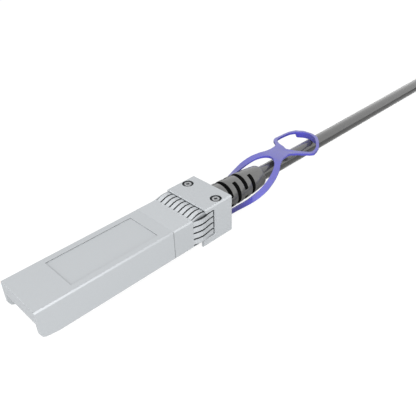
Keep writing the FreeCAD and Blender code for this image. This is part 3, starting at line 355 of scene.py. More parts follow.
bpy.ops.object.mode_set(mode="OBJECT")
print("loop pulled into shape")

# %% Put the tab on both plugs
settle(tab)
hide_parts("pull_tab")
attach(tab, "release")
far_tab = twin(tab, "far_pull_tab_moulding")
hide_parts("far_pull_tab")
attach(far_tab, "far_release")
tabs = [tab, far_tab]

# %% [markdown]
# ## The strain relief boot
# Behind the nose the cable leaves through a tapered rubber boot. Slots that go part of the way round,
# by turns above and below and then left and right, let it flex. It starts as an open ring of edges,
# which is extruded along the cable and scaled at each station for the taper. The slots are bands of
# faces pushed inwards.

# %% The boot's stations along the cable and its radii
BOOT = [(53.35, 3.0), (53.5, 3.85), (53.62, 3.95), (56.3, 3.87), (57.55, 3.84), (59.15, 3.8), (60.4, 3.77),
        (62.0, 3.71), (63.25, 3.67), (64.85, 3.58), (66.1, 3.52), (68.6, 3.24), (70.0, 3.08), (70.6, 2.98),
        (70.95, 2.8), (71.0, 2.55), (71.0, 2.02)]
SLOTS = [(56.3, 57.55, 90, 76), (59.15, 60.4, 0, 68), (62.0, 63.25, 90, 76), (64.85, 66.1, 0, 68)]
AROUND = 120
SLOT_FLOOR = 2.4 / 3.75


def angle_about(co):
    """How far round the cable's axis a point is, in degrees, from the +Y side through the top."""
    return math.degrees(math.atan2(co.z - AXIS / 1000, co.y))


# %% Extrude the rings
bpy.ops.object.select_all(action="DESELECT")
bpy.ops.mesh.primitive_circle_add(vertices=AROUND, radius=BOOT[0][1] / 1000, location=spot(BOOT[0][0], 0, AXIS),
                                  rotation=(0, math.pi / 2, 0))
boot = start("boot")
take(boot, lambda a, b: True, "edges")
for (x, radius), (next_x, next_radius) in zip(BOOT, BOOT[1:]):
    bpy.ops.mesh.extrude_edges_move(TRANSFORM_OT_translate={"value": ((next_x - x) / 1000, 0, 0)})
    grow = next_radius / radius
    bpy.ops.transform.resize(value=(1, grow, grow), center_override=spot(next_x, 0, AXIS))
bpy.ops.mesh.select_all(action="SELECT")
bpy.ops.mesh.normals_make_consistent(inside=False)
bpy.ops.object.mode_set(mode="OBJECT")
print("boot rings", len(boot.data.polygons), "faces")

# %% Push the slots in
for first, last, middle, span in SLOTS:
    for side in (0, 180):
        def in_slot(centre, normal):
            turn = (angle_about(centre) - middle - side + 540) % 360 - 180
            inside = spot(first, 0, 0).x - 1e-6 < centre.x < spot(last, 0, 0).x + 1e-6
            return inside and abs(turn) < span and abs(normal.x) < 0.7
        take(boot, in_slot)
        bpy.ops.mesh.extrude_region_move(TRANSFORM_OT_translate={"value": (0, 0, 0)})
        bpy.ops.transform.resize(value=(1, SLOT_FLOOR, SLOT_FLOOR), center_override=spot(first, 0, AXIS))
bpy.ops.object.mode_set(mode="OBJECT")
add_modifier(boot, "BEVEL", width=0.00009, segments=2, limit_method="ANGLE", angle_limit=math.radians(45))
settle(boot)
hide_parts("strain_relief_boot")
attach(boot, "plugs_and_cable")
far_boot = twin(boot, "far_boot")
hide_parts("far_strain_relief_boot")
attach(far_boot, "plugs_and_cable")
boots = [boot, far_boot]

# %% [markdown]
# ## The cover screws
# Two small screws hold the cover. Each has a flat round head with a six-lobed drive, and sits in a
# shallow recess. A cylinder is inset, its drive is pushed down, and the shank below is the bottom face
# extruded.

# %% The screws, in metres apart from their place
SCREW_X, SCREW_Y, HEAD_MIDDLE = 49.87, 4.9, 10.23
HEAD_RADIUS, HEAD_THICK, RIM, LAND = 0.00092, 0.0005, 0.00012, 0.0004
LOBE, DRIVE_DEPTH, SHANK = 0.16, 0.0003, 0.0029


def make_screw(name, y):
    """A screw whose head's top is just under the nose's top."""
    centre = spot(SCREW_X, y, HEAD_MIDDLE)

    def cap(way):
        """Picks the middle face of the top or the bottom."""
        def test(middle, normal):
            return normal.z * way > 0.9 and (middle - centre).xy.length < 0.0001
        return test
    bpy.ops.object.select_all(action="DESELECT")
    bpy.ops.mesh.primitive_cylinder_add(vertices=48, radius=HEAD_RADIUS, depth=HEAD_THICK, location=centre)
    screw = start(name)
    take(screw, cap(1))
    bpy.ops.mesh.inset(thickness=RIM)
    take(screw, cap(1))
    bpy.ops.mesh.inset(thickness=LAND)
    take(screw, cap(1))
    shape = bmesh.from_edit_mesh(screw.data)
    for face in (f for f in shape.faces if f.select):
        for corner in face.verts:
            arm = corner.co - centre
            lobe = 1 + LOBE * math.cos(6 * math.atan2(arm.y, arm.x))
            corner.co.x = centre.x + arm.x * lobe
            corner.co.y = centre.y + arm.y * lobe
    bmesh.update_edit_mesh(screw.data)
    bpy.ops.mesh.extrude_region_move(TRANSFORM_OT_translate={"value": (0, 0, -DRIVE_DEPTH)})
    bpy.ops.transform.resize(value=(0.92, 0.92, 1), center_override=centre)
    take(screw, cap(-1))
    bpy.ops.mesh.inset(thickness=LAND)
    take(screw, cap(-1))
    bpy.ops.mesh.extrude_region_move(TRANSFORM_OT_translate={"value": (0, 0, -SHANK)})
    bpy.ops.object.mode_set(mode="OBJECT")
    add_modifier(screw, "BEVEL", width=0.00005, segments=2, limit_method="ANGLE", angle_limit=math.radians(50))
    return settle(screw)


def join(items, name):
    """Joins pieces into one object."""
    only(items[0])
    for item in items[1:]:
        item.select_set(True)
    bpy.ops.object.join()
    items[0].name = name
    items[0].data.name = name
    return items[0]


screws = join([make_screw("screw_a", SCREW_Y), make_screw("screw_b", -SCREW_Y)], "screws")
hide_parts("cover_screws")
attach(screws, "plugs_and_cable")
far_screws = twin(screws, "far_screws")
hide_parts("far_cover_screws")
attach(far_screws, "plugs_and_cable")

# %% [markdown]
# ## The collar's corner fingers
# Between the top and side fingers the collar has one narrow bowed finger on each corner. Its end face is
# a small quad, extruded from station to station under the lip.

# %% Extrude and mirror the corner fingers
CORNER = [(40.6, 9.5), (41.2, 9.62), (42.0, 9.84), (42.8, 9.98), (43.6, 10.0), (44.55, 9.92)]


def corner_section(x, top):
    """The four corners of a corner finger's section: inner low, outer low, outer high and inner high."""
    return [spot(x, y, z) for y, z in ((6.24, 9.2), (6.68, 9.2), (6.66, top - 0.08), (6.24, top))]


bpy.ops.object.select_all(action="DESELECT")
bpy.ops.mesh.primitive_plane_add(size=0.001, location=spot(CORNER[0][0], 6.4, 9.3), rotation=(0, math.pi / 2, 0))
fingers = start("corner_fingers")
extrude_through(fingers, [corner_section(x, top) for x, top in CORNER])
bpy.ops.mesh.select_all(action="SELECT")
bpy.ops.mesh.normals_make_consistent(inside=False)
bpy.ops.object.mode_set(mode="OBJECT")
add_modifier(fingers, "BEVEL", width=0.00004, segments=2, limit_method="ANGLE", angle_limit=math.radians(40))
add_modifier(fingers, "MIRROR", use_axis=(False, True, False))
settle(fingers)
far_fingers = twin(fingers, "far_corner_fingers")
for item in (fingers, far_fingers):
    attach(item, "plugs_and_cable")

# %% [markdown]
# ## The return springs
# A small wire spring pushes each slider back. A ring of edges, the wire's section, is wound by a screw
# modifier. When the slider comes back, the spring is pressed against its fixed end.

# %% Wind the springs
SPRING_FROM, SPRING_TO, TRAVEL = 0.00017, 0.00354, 0.0016
WIRE, COIL_RADIUS, TURNS = 0.00015, 0.00062, 4
SPRING_END = Vector((SPRING_TO + WIRE, 0.0036, 0.002))
bpy.ops.object.select_all(action="DESELECT")
bpy.ops.mesh.primitive_circle_add(vertices=12, radius=WIRE, location=(0, 0, COIL_RADIUS), rotation=(math.pi / 2, 0, 0))
spring = start("wound_spring")
add_modifier(spring, "SCREW", axis="X", screw_offset=(SPRING_TO - SPRING_FROM) / TURNS, iterations=TURNS,
             steps=28, render_steps=28, use_smooth_shade=True)
take(spring, lambda co: True, "verts")
bpy.ops.mesh.fill_holes(sides=0)
bpy.ops.mesh.select_all(action="SELECT")
bpy.ops.mesh.normals_make_consistent(inside=False)
low_x = min(v.co.x for v in bmesh.from_edit_mesh(spring.data).verts)
bpy.ops.transform.translate(value=(SPRING_FROM - WIRE - low_x, SPRING_END.y, SPRING_END.z))
bpy.ops.object.mode_set(mode="OBJECT")
settle(spring)
far_spring = twin(spring, "far_wound_spring")
for item, before, end in ((spring, "", SPRING_END), (far_spring, "far_", SPRING_END + APART)):
    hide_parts(before + "return_spring")
    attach(item, "plugs_and_cable")
    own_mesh(item)

# %% [markdown]
# ## The coil's tie
# A soft strap goes once round the coil's turns and overlaps itself on top. A rectangle's corners are
# rounded, the middle is opened by an inset, and the frame that is left is extruded to the strap's width.

# %% The strap and its overlapping tail
TIE_AT = spot(226, -23.5, 4.15)
TIE_LONG, TIE_HIGH, TIE_WIDE, STRAP = 0.0152, 0.0082, 0.005, 0.00035
TAIL_FROM, TAIL = spot(223, 0, 8.2), 0.0003
bpy.ops.object.select_all(action="DESELECT")
bpy.ops.mesh.primitive_plane_add(size=1, location=TIE_AT, rotation=(math.pi / 2, 0, 0))
tie = start("coil_strap")
take(tie, lambda centre, normal: True)
bpy.ops.transform.resize(value=(TIE_LONG, 1, TIE_HIGH), center_override=TIE_AT)
bpy.ops.mesh.bevel(offset=0.0025, segments=8, affect="VERTICES")
bpy.ops.mesh.select_all(action="SELECT")
bpy.ops.mesh.inset(thickness=STRAP)
bpy.ops.mesh.delete(type="FACE")
bpy.ops.mesh.select_all(action="SELECT")
bpy.ops.mesh.extrude_region_move(TRANSFORM_OT_translate={"value": (0, -TIE_WIDE, 0)})
bpy.ops.mesh.select_all(action="SELECT")
bpy.ops.mesh.bisect(plane_co=TAIL_FROM, plane_no=(1, 0, 0))
bpy.ops.mesh.select_all(action="SELECT")
bpy.ops.mesh.normals_make_consistent(inside=False)
take(tie, lambda centre, normal: normal.z > 0.9 and centre.z > TAIL_FROM.z and centre.x > TAIL_FROM.x)
bpy.ops.mesh.extrude_region_move(TRANSFORM_OT_translate={"value": (0, 0, TAIL)})
bpy.ops.object.mode_set(mode="OBJECT")
add_modifier(tie, "BEVEL", width=0.0001, segments=2, limit_method="ANGLE", angle_limit=math.radians(40))
settle(tie)
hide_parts("coil_tie")
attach(tie, "plugs_and_cable")
print("tie,", len(tie.data.polygons), "faces")

# %% [markdown]
# ## Finishes
# Each finish is a small tree of nodes on one shader. Its pattern is made from the place in the object,
# so it stays on the surface from every side. Plain numbers sit on the shader's own sockets.

# %% Helpers for finishes
def finish(name, colour, roughness, metallic=0.0):
    """A new material with one shader; returns the material, its nodes, its links and the shader."""
    made = bpy.data.materials.new(name)
    made.use_nodes = True
    tree = made.node_tree
    shader = tree.nodes["Principled BSDF"]
    shader.inputs["Base Color"].default_value = (*colour, 1)
    shader.inputs["Roughness"].default_value = roughness
    shader.inputs["Metallic"].default_value = metallic
    return made, tree.nodes, tree.links, shader


def grain(nodes, links, scale, detail=3.0, stretch=(1, 1, 1)):
    """A noise made from the place in the object; scale is in spots a metre."""
    where = nodes.new("ShaderNodeTexCoord")
    turn = nodes.new("ShaderNodeMapping")
    turn.inputs["Scale"].default_value = stretch
    noise = nodes.new("ShaderNodeTexNoise")
    noise.inputs["Scale"].default_value = scale
    noise.inputs["Detail"].default_value = detail
    links.new(where.outputs["Object"], turn.inputs["Vector"])
    links.new(turn.outputs["Vector"], noise.inputs["Vector"])
    return noise.outputs["Fac"]


def two_tones(nodes, links, factor, low, high, start=0.35, end=0.65):
    """A ramp between two colours."""
    ramp = nodes.new("ShaderNodeValToRGB")
    ramp.color_ramp.elements[0].position = start
    ramp.color_ramp.elements[0].color = (*low, 1)
    ramp.color_ramp.elements[1].position = end
    ramp.color_ramp.elements[1].color = (*high, 1)
    links.new(factor, ramp.inputs["Fac"])
    return ramp.outputs["Color"]


def span_of(nodes, links, factor, low, high):
    """Turns 0..1 into a range of numbers, such as roughness."""
    change = nodes.new("ShaderNodeMapRange")
    change.inputs["To Min"].default_value = low
    change.inputs["To Max"].default_value = high
    links.new(factor, change.inputs["Value"])
    return change.outputs["Result"]


def bumps(nodes, links, shader, factor, depth):
    """Small relief; depth is in metres."""
    bump = nodes.new("ShaderNodeBump")
    bump.inputs["Strength"].default_value = 1.0
    bump.inputs["Distance"].default_value = depth
    links.new(factor, bump.inputs["Height"])
    links.new(bump.outputs["Normal"], shader.inputs["Normal"])


def polish(shader, index=1.6, coat=0.6):
    """A hard glossy skin, as moulded plastic has when it leaves a polished tool."""
    shader.inputs["Specular IOR Level"].default_value = 1.0
    shader.inputs["IOR"].default_value = index
    shader.inputs["Coat Weight"].default_value = coat
    shader.inputs["Coat Roughness"].default_value = 0.12
    shader.inputs["Coat IOR"].default_value = 1.6


def wear(made, *items):
    """Puts a finish on pieces, in every slot they have."""
    for item in items:
        if not item.material_slots:
            item.data.materials.append(made)
        for slot in item.material_slots:
            slot.material = made
    print(made.name, "on", ", ".join(item.name for item in items))


def both(node):
    """A node on the near plug and the same node on the far one."""
    return [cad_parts[node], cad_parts["far_" + node]]


print("finishes ready")

# %% [markdown]
# ### Cast shell
# The cover and base are die-cast zinc with a satin plate: pale, even and slightly grainy. Under
# the collar's fingers the plate lies in a narrow gap that no light reaches, so a soft-edged band of painted
# shade is laid there by the place along the plug. The label recess's walls, the gap before the collar and
# the screws' recesses get painted shade in the same way. The far plug lies 88 mm further on, so that is
# taken off first wherever the place is beside the far plug.

# %% Where painted shade goes, in metres from the nose's middle, the plug's middle plane and the underside
MIDWAY = APART.y / 2
RECESS_ALONG, RECESS_SIDE, RECESS_LOW, RECESS_HIGH = (-0.0077, -0.00095), 0.00666, 0.00225, 0.0095
LABEL_RIMS = (((-0.0393, -0.0167), 0.00492), ((-0.0396, -0.0169), 0.0048))
LABEL_HEIGHTS = (0.00938, 0.00949)
COLLAR_EDGE, EDGE_SIDE = (-0.0137, -0.01352), 0.0064
SCREW_RECESS, NOSE_TOP = 0.00149, 0.01051
FINGERS_ALONG, ON_TOP, ON_SIDE, LIP_EDGE, NOSE_EDGE = (-0.0077, -0.0005), 0.00945, 0.0065, -0.0039, -0.0014
# the slots' pitch and half the width of their painted shade
TOP_PITCH, SIDE_PITCH, SIDE_FIRST, HALF_GAP = 0.00156, 0.00172, 0.00245, 0.00021
# the colours of the painted shade in the gaps and along the fine lines
GAP_SHADE_TONE, LINE_SHADE_TONE = (0.06, 0.064, 0.068), (0.04, 0.043, 0.046)
print("finger gaps are drawn %.2f mm wide" % (HALF_GAP * 2000))

# %% Helpers that find a place on either plug
def place_in(nodes, links):
    """The place in the object, as the outputs X, Y and Z."""
    where = nodes.new("ShaderNodeTexCoord")
    parts = nodes.new("ShaderNodeSeparateXYZ")
    links.new(where.outputs["Object"], parts.inputs["Vector"])
    return parts.outputs


def reckon(nodes, links, kind, *values):
    """One step of arithmetic on plain numbers and other nodes' outputs."""
    step = nodes.new("ShaderNodeMath")
    step.operation = kind
    for socket, value in zip(step.inputs, values):
        if isinstance(value, float):
            socket.default_value = value
        else:
            links.new(value, socket)
    return step.outputs[0]


def product(nodes, links, first, second):
    """Two numbers multiplied."""
    return reckon(nodes, links, "MULTIPLY", first, second)


def along_plug(nodes, links):
    """The distance from the nose's middle along the plug, the same on both plugs."""
    where = place_in(nodes, links)
    is_far = reckon(nodes, links, "LESS_THAN", where["Y"], MIDWAY)
    return reckon(nodes, links, "MULTIPLY_ADD", is_far, -APART.x, where["X"])


def off_centre(nodes, links, across):
    """How far a point is from its own plug's middle plane."""
    is_far = reckon(nodes, links, "LESS_THAN", across, MIDWAY)
    centred = reckon(nodes, links, "MULTIPLY_ADD", is_far, -APART.y, across)
    return reckon(nodes, links, "ABSOLUTE", centred)


def band(nodes, links, value, low, high, soft):
    """1 between two numbers and 0 outside them, with soft edges."""
    up = nodes.new("ShaderNodeMapRange")
    up.interpolation_type = "SMOOTHSTEP"
    up.inputs["From Min"].default_value = low - soft
    up.inputs["From Max"].default_value = low + soft
    links.new(value, up.inputs["Value"])
    down = nodes.new("ShaderNodeMapRange")
    down.interpolation_type = "SMOOTHSTEP"
    down.inputs["From Min"].default_value = high - soft
    down.inputs["From Max"].default_value = high + soft
    down.inputs["To Min"].default_value = 1
    down.inputs["To Max"].default_value = 0
    links.new(value, down.inputs["Value"])
    return product(nodes, links, up.outputs["Result"], down.outputs["Result"])


def from_screw(nodes, links):
    """The level distance from the nearest cover screw's axis, the same on both plugs."""
    pair = nodes.new("ShaderNodeCombineXYZ")
    links.new(along_plug(nodes, links), pair.inputs["X"])
    links.new(off_centre(nodes, links, place_in(nodes, links)["Y"]), pair.inputs["Y"])
    gap = nodes.new("ShaderNodeVectorMath")
    gap.operation = "DISTANCE"
    gap.inputs[1].default_value = spot(SCREW_X, SCREW_Y, 0)
    links.new(pair.outputs["Vector"], gap.inputs[0])
    return gap.outputs["Value"]


def mixed(nodes, links, factor, first, second):
    """A colour where the factor is 0 and a plain second colour where it is 1."""
    shade = nodes.new("ShaderNodeMix")
    shade.data_type = "RGBA"
    links.new(factor, shade.inputs[0])
    links.new(first, shade.inputs[6])
    shade.inputs[7].default_value = (*second, 1)
    return shade.outputs[2]


print("places ready")


# %% The casting's painted shade
def recess(nodes, links):
    """Painted shade: 1 in the low floor under the spring fingers and 0 on the faces around it."""
    where = place_in(nodes, links)
    side = off_centre(nodes, links, where["Y"])
    length = band(nodes, links, along_plug(nodes, links), *RECESS_ALONG, soft=0.0001)
    under = reckon(nodes, links, "LESS_THAN", where["Z"], RECESS_HIGH)
    above = reckon(nodes, links, "GREATER_THAN", where["Z"], RECESS_LOW)
    within = product(nodes, links, reckon(nodes, links, "LESS_THAN", side, RECESS_SIDE), above)
    return product(nodes, links, product(nodes, links, length, under), within)


def shaded_fine_lines(nodes, links):
    """Painted shade: 1 on the label recess's upright walls, in the gap before the collar and round the screws."""
    where = place_in(nodes, links)
    along = along_plug(nodes, links)
    side = off_centre(nodes, links, where["Y"])
    outer, inner = [product(nodes, links, band(nodes, links, along, *reach, soft=0.00001),
                            reckon(nodes, links, "LESS_THAN", side, half)) for reach, half in LABEL_RIMS]
    walls = reckon(nodes, links, "SUBTRACT", outer, inner)
    label = product(nodes, links, walls, band(nodes, links, where["Z"], *LABEL_HEIGHTS, soft=0.000005))
    edge = product(nodes, links, band(nodes, links, along, *COLLAR_EDGE, soft=0.00002),
                   reckon(nodes, links, "GREATER_THAN", side, EDGE_SIDE))
    ring = product(nodes, links, reckon(nodes, links, "LESS_THAN", from_screw(nodes, links), SCREW_RECESS),
                   reckon(nodes, links, "LESS_THAN", where["Z"], NOSE_TOP))
    return reckon(nodes, links, "MAXIMUM", reckon(nodes, links, "MAXIMUM", label, edge), ring)


# %% The cast shell's finish
casting, nodes, links, shader = finish("cast_shell", (0.46, 0.48, 0.498), 0.45, 0.1)
fine = grain(nodes, links, 9000, 4)
tone = two_tones(nodes, links, fine, (0.437, 0.456, 0.473), (0.467, 0.487, 0.504), 0.3, 0.7)
# painted shade in the floor under the collar's fingers
gap = recess(nodes, links)
tone = mixed(nodes, links, gap, tone, GAP_SHADE_TONE)
# painted shade on the label recess's walls, before the collar and round the screws
links.new(mixed(nodes, links, shaded_fine_lines(nodes, links), tone, LINE_SHADE_TONE), shader.inputs["Base Color"])
links.new(span_of(nodes, links, fine, 0.36, 0.5), shader.inputs["Roughness"])
bumps(nodes, links, shader, fine, 0.000006)
wear(casting, *both("top_cover"), *both("base_shell"))

# %% Round the casting's edges
for item in both("top_cover") + both("base_shell"):
    weld = item.modifiers.new("weld", "WELD")
    weld.merge_threshold = 0.000001
    flat = item.modifiers.new("flat", "DECIMATE")
    flat.decimate_type = "DISSOLVE"
    flat.angle_limit = math.radians(1)
    edge = item.modifiers.new("edge", "BEVEL")
    edge.width = 0.00012
    edge.segments = 2
    edge.limit_method = "ANGLE"
    edge.angle_limit = math.radians(25)
print("edges rounded on the castings")

# %% [markdown]
# ### Spring steel and small metal
# The collar, the slider and the return spring are bare stainless sheet and wire, a little brighter than
# the casting and finely mottled. The slots between the collar's fingers carry painted shade, as do the places
# where the fingers go under the lip and meet the nose. The screws are plated, with painted shade in their drives.

# %% Spring steel
def from_slot(nodes, links, value, pitch):
    """The distance from the nearest of a row of slots."""
    return reckon(nodes, links, "PINGPONG", value, pitch / 2)


def collar_gap_shade(nodes, links):
    """Painted shade: 1 on the fingers' cut edges and where they go under the lip or meet the nose."""
    where = place_in(nodes, links)
    along = along_plug(nodes, links)
    side = off_centre(nodes, links, where["Y"])
    lift = reckon(nodes, links, "SUBTRACT", where["Z"], SIDE_FIRST)
    fingers = band(nodes, links, along, *FINGERS_ALONG, soft=0.0001)
    on_top = reckon(nodes, links, "GREATER_THAN", where["Z"], ON_TOP)
    on_side = reckon(nodes, links, "GREATER_THAN", side, ON_SIDE)
    top_slot = reckon(nodes, links, "LESS_THAN", from_slot(nodes, links, side, TOP_PITCH), HALF_GAP)
    side_slot = reckon(nodes, links, "LESS_THAN", from_slot(nodes, links, lift, SIDE_PITCH), HALF_GAP)
    under_lip = reckon(nodes, links, "GREATER_THAN", along, LIP_EDGE)
    at_nose = reckon(nodes, links, "GREATER_THAN", along, NOSE_EDGE)
    total = None
    for place_on, mark in ((on_top, top_slot), (on_top, under_lip), (on_side, side_slot), (on_side, at_nose)):
        part = product(nodes, links, product(nodes, links, place_on, mark), fingers)
        total = part if total is None else reckon(nodes, links, "MAXIMUM", total, part)
    return total


steel, nodes, links, shader = finish("spring_steel", (0.48, 0.5, 0.518), 0.4, 0.2)
lines = grain(nodes, links, 7000, 3)
tone = two_tones(nodes, links, lines, (0.465, 0.485, 0.503), (0.495, 0.516, 0.534))
# painted shade in the collar's slots, under the lip's edge and at the nose
links.new(mixed(nodes, links, collar_gap_shade(nodes, links), tone, GAP_SHADE_TONE), shader.inputs["Base Color"])
links.new(span_of(nodes, links, lines, 0.28, 0.42), shader.inputs["Roughness"])
bumps(nodes, links, shader, lines, 0.000003)
wear(steel, *both("emi_spring_collar"))
plain, nodes, links, shader = finish("plain_steel", (0.53, 0.55, 0.568), 0.38, 0.6)
lines = grain(nodes, links, 5000, 3, (0.2, 1, 1))
links.new(two_tones(nodes, links, lines, (0.46, 0.48, 0.5), (0.51, 0.53, 0.55)), shader.inputs["Base Color"])
links.new(span_of(nodes, links, lines, 0.28, 0.42), shader.inputs["Roughness"])
bumps(nodes, links, shader, lines, 0.000004)
wear(plain, spring, far_spring, fingers, far_fingers, *both("latch_slider"), *both("return_spring"))

# %% Screw plating
plating, nodes, links, shader = finish("screw_plating", (0.42, 0.43, 0.44), 0.35, 0.5)
specks = grain(nodes, links, 6000, 3)
tone = two_tones(nodes, links, specks, (0.34, 0.35, 0.36), (0.4, 0.41, 0.42))
# painted shade in the screws' drives
drive_shade = band(nodes, links, from_screw(nodes, links), 0.00016, 0.00042, 0.00004)
links.new(mixed(nodes, links, drive_shade, tone, (0.03, 0.032, 0.035)), shader.inputs["Base Color"])
links.new(span_of(nodes, links, specks, 0.3, 0.45), shader.inputs["Roughness"])
bumps(nodes, links, shader, specks, 0.000003)
wear(plating, screws, far_screws, *both("cover_screws"))

# %% [markdown]
# ### Rubber and plastic
# The tab is a violet moulding, and the boot and the jacket are nearly black with a hard gloss, so most of
# the grey that they show is the sky's reflection. The boot's slots are painted matt black inside, as painted shade.
# Beside the nose the violet is darker: painted shade on the shaded ends of the arms.

# %% Violet moulding
violet, nodes, links, shader = finish("violet_moulding", (0.052, 0.048, 0.36), 0.3)
polish(shader, 1.62, 0.6)
cloud = grain(nodes, links, 700, 3)
tone = two_tones(nodes, links, cloud, (0.049, 0.045, 0.345), (0.055, 0.051, 0.375))
# painted shade on the arms' ends beside the nose
nose_shade = band(nodes, links, along_plug(nodes, links), 0.0, 0.0105, 0.0032)
links.new(mixed(nodes, links, nose_shade, tone, (0.017, 0.013, 0.17)), shader.inputs["Base Color"])
fine = grain(nodes, links, 14000, 2)
links.new(span_of(nodes, links, fine, 0.22, 0.34), shader.inputs["Roughness"])
bumps(nodes, links, shader, fine, 0.000002)
wear(violet, *tabs, *both("pull_tab"))

# %% Grey rubber
rubber, nodes, links, shader = finish("grey_rubber", (0.05, 0.05, 0.048), 0.3)
polish(shader)
cloud = grain(nodes, links, 1500, 4)
tone = two_tones(nodes, links, cloud, (0.054, 0.054, 0.052), (0.066, 0.066, 0.063))
links.new(tone, shader.inputs["Base Color"])
fine = grain(nodes, links, 16000, 3)
links.new(span_of(nodes, links, fine, 0.24, 0.36), shader.inputs["Roughness"])
bumps(nodes, links, shader, fine, 0.000003)
wear(rubber, *boots, *both("strain_relief_boot"))
# painted shade: a matt black finish for the boot's slot floors
slot_shade, nodes, links, shader = finish("slot_shade_rubber", (0.006, 0.006, 0.006), 0.9)
shader.inputs["Specular IOR Level"].default_value = 0.05
cloud = grain(nodes, links, 1500, 4)
links.new(two_tones(nodes, links, cloud, (0.004, 0.004, 0.004), (0.008, 0.008, 0.008)), shader.inputs["Base Color"])
for item, ahead, across in zip(boots, (0, APART.x), (0, APART.y)):
    item.data.materials.append(slot_shade)

    def in_slot_floor(centre, normal):
        radius = math.hypot(centre.y - across, centre.z - AXIS / 1000)
        return radius < 0.0033 and spot(56, 0, 0).x < centre.x - ahead < spot(66.3, 0, 0).x
    take(item, in_slot_floor)
    item.active_material_index = 1
    bpy.ops.object.material_slot_assign()
    bpy.ops.object.mode_set(mode="OBJECT")

# %% Cable jacket
jacket, nodes, links, shader = finish("jacket", (0.034, 0.034, 0.033), 0.25)
polish(shader)
shader.inputs["Sheen Weight"].default_value = 0.5
shader.inputs["Sheen Roughness"].default_value = 0.35
cloud = grain(nodes, links, 900, 3)
links.new(two_tones(nodes, links, cloud, (0.025, 0.025, 0.024), (0.032, 0.032, 0.031)),
          shader.inputs["Base Color"])
fine = grain(nodes, links, 12000, 2)
links.new(span_of(nodes, links, fine, 0.18, 0.3), shader.inputs["Roughness"])
bumps(nodes, links, shader, fine, 0.000002)
wear(jacket, cable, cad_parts["cable_lead"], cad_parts["cable_coil"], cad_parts["far_cable_lead"])

# %% [markdown]
# ### Inside the plug
# The card, its gold contacts, the memory chip, the capacitors, the pairs and the ferrule are seen
# through the mouth and in the cut-away views, so each gets the finish of the real thing.

# %% Card and contacts
mask, nodes, links, shader = finish("solder_mask", (0.02, 0.16, 0.06), 0.3)
weave = grain(nodes, links, 1800, 2, (1, 0.15, 1))
links.new(two_tones(nodes, links, weave, (0.012, 0.12, 0.045), (0.03, 0.2, 0.08)), shader.inputs["Base Color"])
bumps(nodes, links, shader, weave, 0.00001)
wear(mask, *both("paddle_card"))
gold, nodes, links, shader = finish("contact_gold", (0.83, 0.6, 0.22), 0.25, 1.0)
wipe = grain(nodes, links, 5000, 2, (0.1, 1, 1))
links.new(two_tones(nodes, links, wipe, (0.78, 0.55, 0.19), (0.88, 0.66, 0.27)), shader.inputs["Base Color"])
links.new(span_of(nodes, links, wipe, 0.18, 0.34), shader.inputs["Roughness"])
wear(gold, *both("card_contacts"))

# %% Chip and capacitors
epoxy, nodes, links, shader = finish("chip_epoxy", (0.02, 0.02, 0.021), 0.6)
dust = grain(nodes, links, 9000, 3)
links.new(two_tones(nodes, links, dust, (0.014, 0.014, 0.015), (0.03, 0.03, 0.031)), shader.inputs["Base Color"])
bumps(nodes, links, shader, dust, 0.000004)
wear(epoxy, *both("memory_chip"))
ceramic, nodes, links, shader = finish("capacitor_ceramic", (0.42, 0.3, 0.18), 0.5)
dust = grain(nodes, links, 7000, 3)
links.new(two_tones(nodes, links, dust, (0.36, 0.25, 0.15), (0.47, 0.35, 0.22)), shader.inputs["Base Color"])
bumps(nodes, links, shader, dust, 0.000004)
wear(ceramic, *both("coupling_capacitors"))

# %% Pairs, their bare ends and the ferrule
pearl, nodes, links, shader = finish("pair_insulation", (0.78, 0.78, 0.76), 0.4)
cloud = grain(nodes, links, 3000, 2)
links.new(two_tones(nodes, links, cloud, (0.74, 0.74, 0.72), (0.82, 0.82, 0.8)), shader.inputs["Base Color"])
bumps(nodes, links, shader, cloud, 0.000004)
wear(pearl, *both("twinax_pairs"))
tin, nodes, links, shader = finish("tinned_copper", (0.72, 0.69, 0.64), 0.3, 1.0)
pits = grain(nodes, links, 8000, 3)
links.new(two_tones(nodes, links, pits, (0.66, 0.62, 0.56), (0.78, 0.76, 0.72)), shader.inputs["Base Color"])
bumps(nodes, links, shader, pits, 0.000006)
wear(tin, *both("conductor_ends"))
brass, nodes, links, shader = finish("ferrule_brass", (0.7, 0.58, 0.34), 0.35, 1.0)
marks = grain(nodes, links, 4000, 3, (0.2, 1, 1))
links.new(two_tones(nodes, links, marks, (0.64, 0.52, 0.29), (0.76, 0.64, 0.4)), shader.inputs["Base Color"])
bumps(nodes, links, shader, marks, 0.000005)
wear(brass, *both("crimp_ferrule"))

# %% Tie
strap, nodes, links, shader = finish("tie_strap", (0.02, 0.02, 0.021), 0.6)
ribs = grain(nodes, links, 6000, 2, (1, 0.2, 1))
links.new(two_tones(nodes, links, ribs, (0.014, 0.014, 0.015), (0.035, 0.035, 0.037)), shader.inputs["Base Color"])
bumps(nodes, links, shader, ribs, 0.00002)
wear(strap, tie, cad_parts["coil_tie"])

# %% [markdown]
# ## The stage
# The part lies on a sheet of white paper. The sheet and the sky look white to the camera, and the sky is
# white in reflections too, but the sheet is dark there, which gives the plastics their dark lower sides.
# The light on the part comes from the sky and three soft lamps that reflections don't show.

# %% Floor
PAPER_TONE, PAPER_SEEN, PAPER_MIRRORED = 0.18, 0.88, 0.14
SKY_LIGHT, SKY_SEEN, SKY_MIRRORED = 0.5, 0.5, 0.5
bpy.ops.object.select_all(action="DESELECT")
bpy.ops.mesh.primitive_plane_add(size=6.0, location=(0, 0, 0))
floor = bpy.context.active_object
floor.name = "floor"


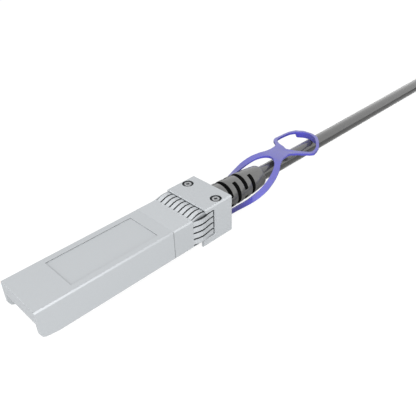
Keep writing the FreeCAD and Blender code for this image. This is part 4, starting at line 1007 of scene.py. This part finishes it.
def seen_only(nodes, links, seen, mirrored):
    """One strength for what the camera sees, one for reflections and glass, and 0 for other light."""
    path = nodes.new("ShaderNodeLightPath")
    shiny = reckon(nodes, links, "MAXIMUM", path.outputs["Is Glossy Ray"], path.outputs["Is Transmission Ray"])
    reflected = product(nodes, links, shiny, mirrored)
    return reckon(nodes, links, "MULTIPLY_ADD", path.outputs["Is Camera Ray"], seen, reflected)


paper = bpy.data.materials.new("white_paper")
paper.use_nodes = True
nodes, links = paper.node_tree.nodes, paper.node_tree.links
nodes.clear()
out = nodes.new("ShaderNodeOutputMaterial")
matte = nodes.new("ShaderNodeBsdfDiffuse")
matte.inputs["Color"].default_value = (PAPER_TONE, PAPER_TONE, PAPER_TONE, 1)
glow = nodes.new("ShaderNodeEmission")
links.new(seen_only(nodes, links, PAPER_SEEN, PAPER_MIRRORED), glow.inputs["Strength"])
both_parts = nodes.new("ShaderNodeAddShader")
links.new(matte.outputs[0], both_parts.inputs[0])
links.new(glow.outputs[0], both_parts.inputs[1])
links.new(both_parts.outputs[0], out.inputs["Surface"])
floor.data.materials.append(paper)

# %% Sky
sky = bpy.data.worlds.new("soft_sky")
bpy.context.scene.world = sky
sky.use_nodes = True
nodes, links = sky.node_tree.nodes, sky.node_tree.links
back = nodes["Background"]
back.inputs["Color"].default_value = (1, 1, 1, 1)
extra = seen_only(nodes, links, SKY_SEEN, SKY_MIRRORED)
links.new(reckon(nodes, links, "ADD", extra, SKY_LIGHT), back.inputs["Strength"])

# %% Lamps
def soft_light(name, where, aim, size, power):
    """A square lamp that faces a point."""
    lamp = bpy.data.lights.new(name, "AREA")
    lamp.size = size
    lamp.energy = power
    item = bpy.data.objects.new(name, lamp)
    bpy.context.scene.collection.objects.link(item)
    item.location = where
    item.rotation_mode = "QUATERNION"
    item.rotation_quaternion = (Vector(aim) - Vector(where)).to_track_quat("-Z", "Y")
    item.visible_glossy = False


soft_light("overhead", (-0.05, -0.05, 0.75), (0.03, 0, 0), 0.9, 1)
soft_light("fill", (-0.45, -0.6, 0.28), (0.0, 0, 0), 0.8, 12)
soft_light("front", (-0.7, 0.1, 0.12), (-0.03, 0, 0), 0.5, 2.5)
bpy.context.scene.view_settings.view_transform = "Standard"
print("stage ready")
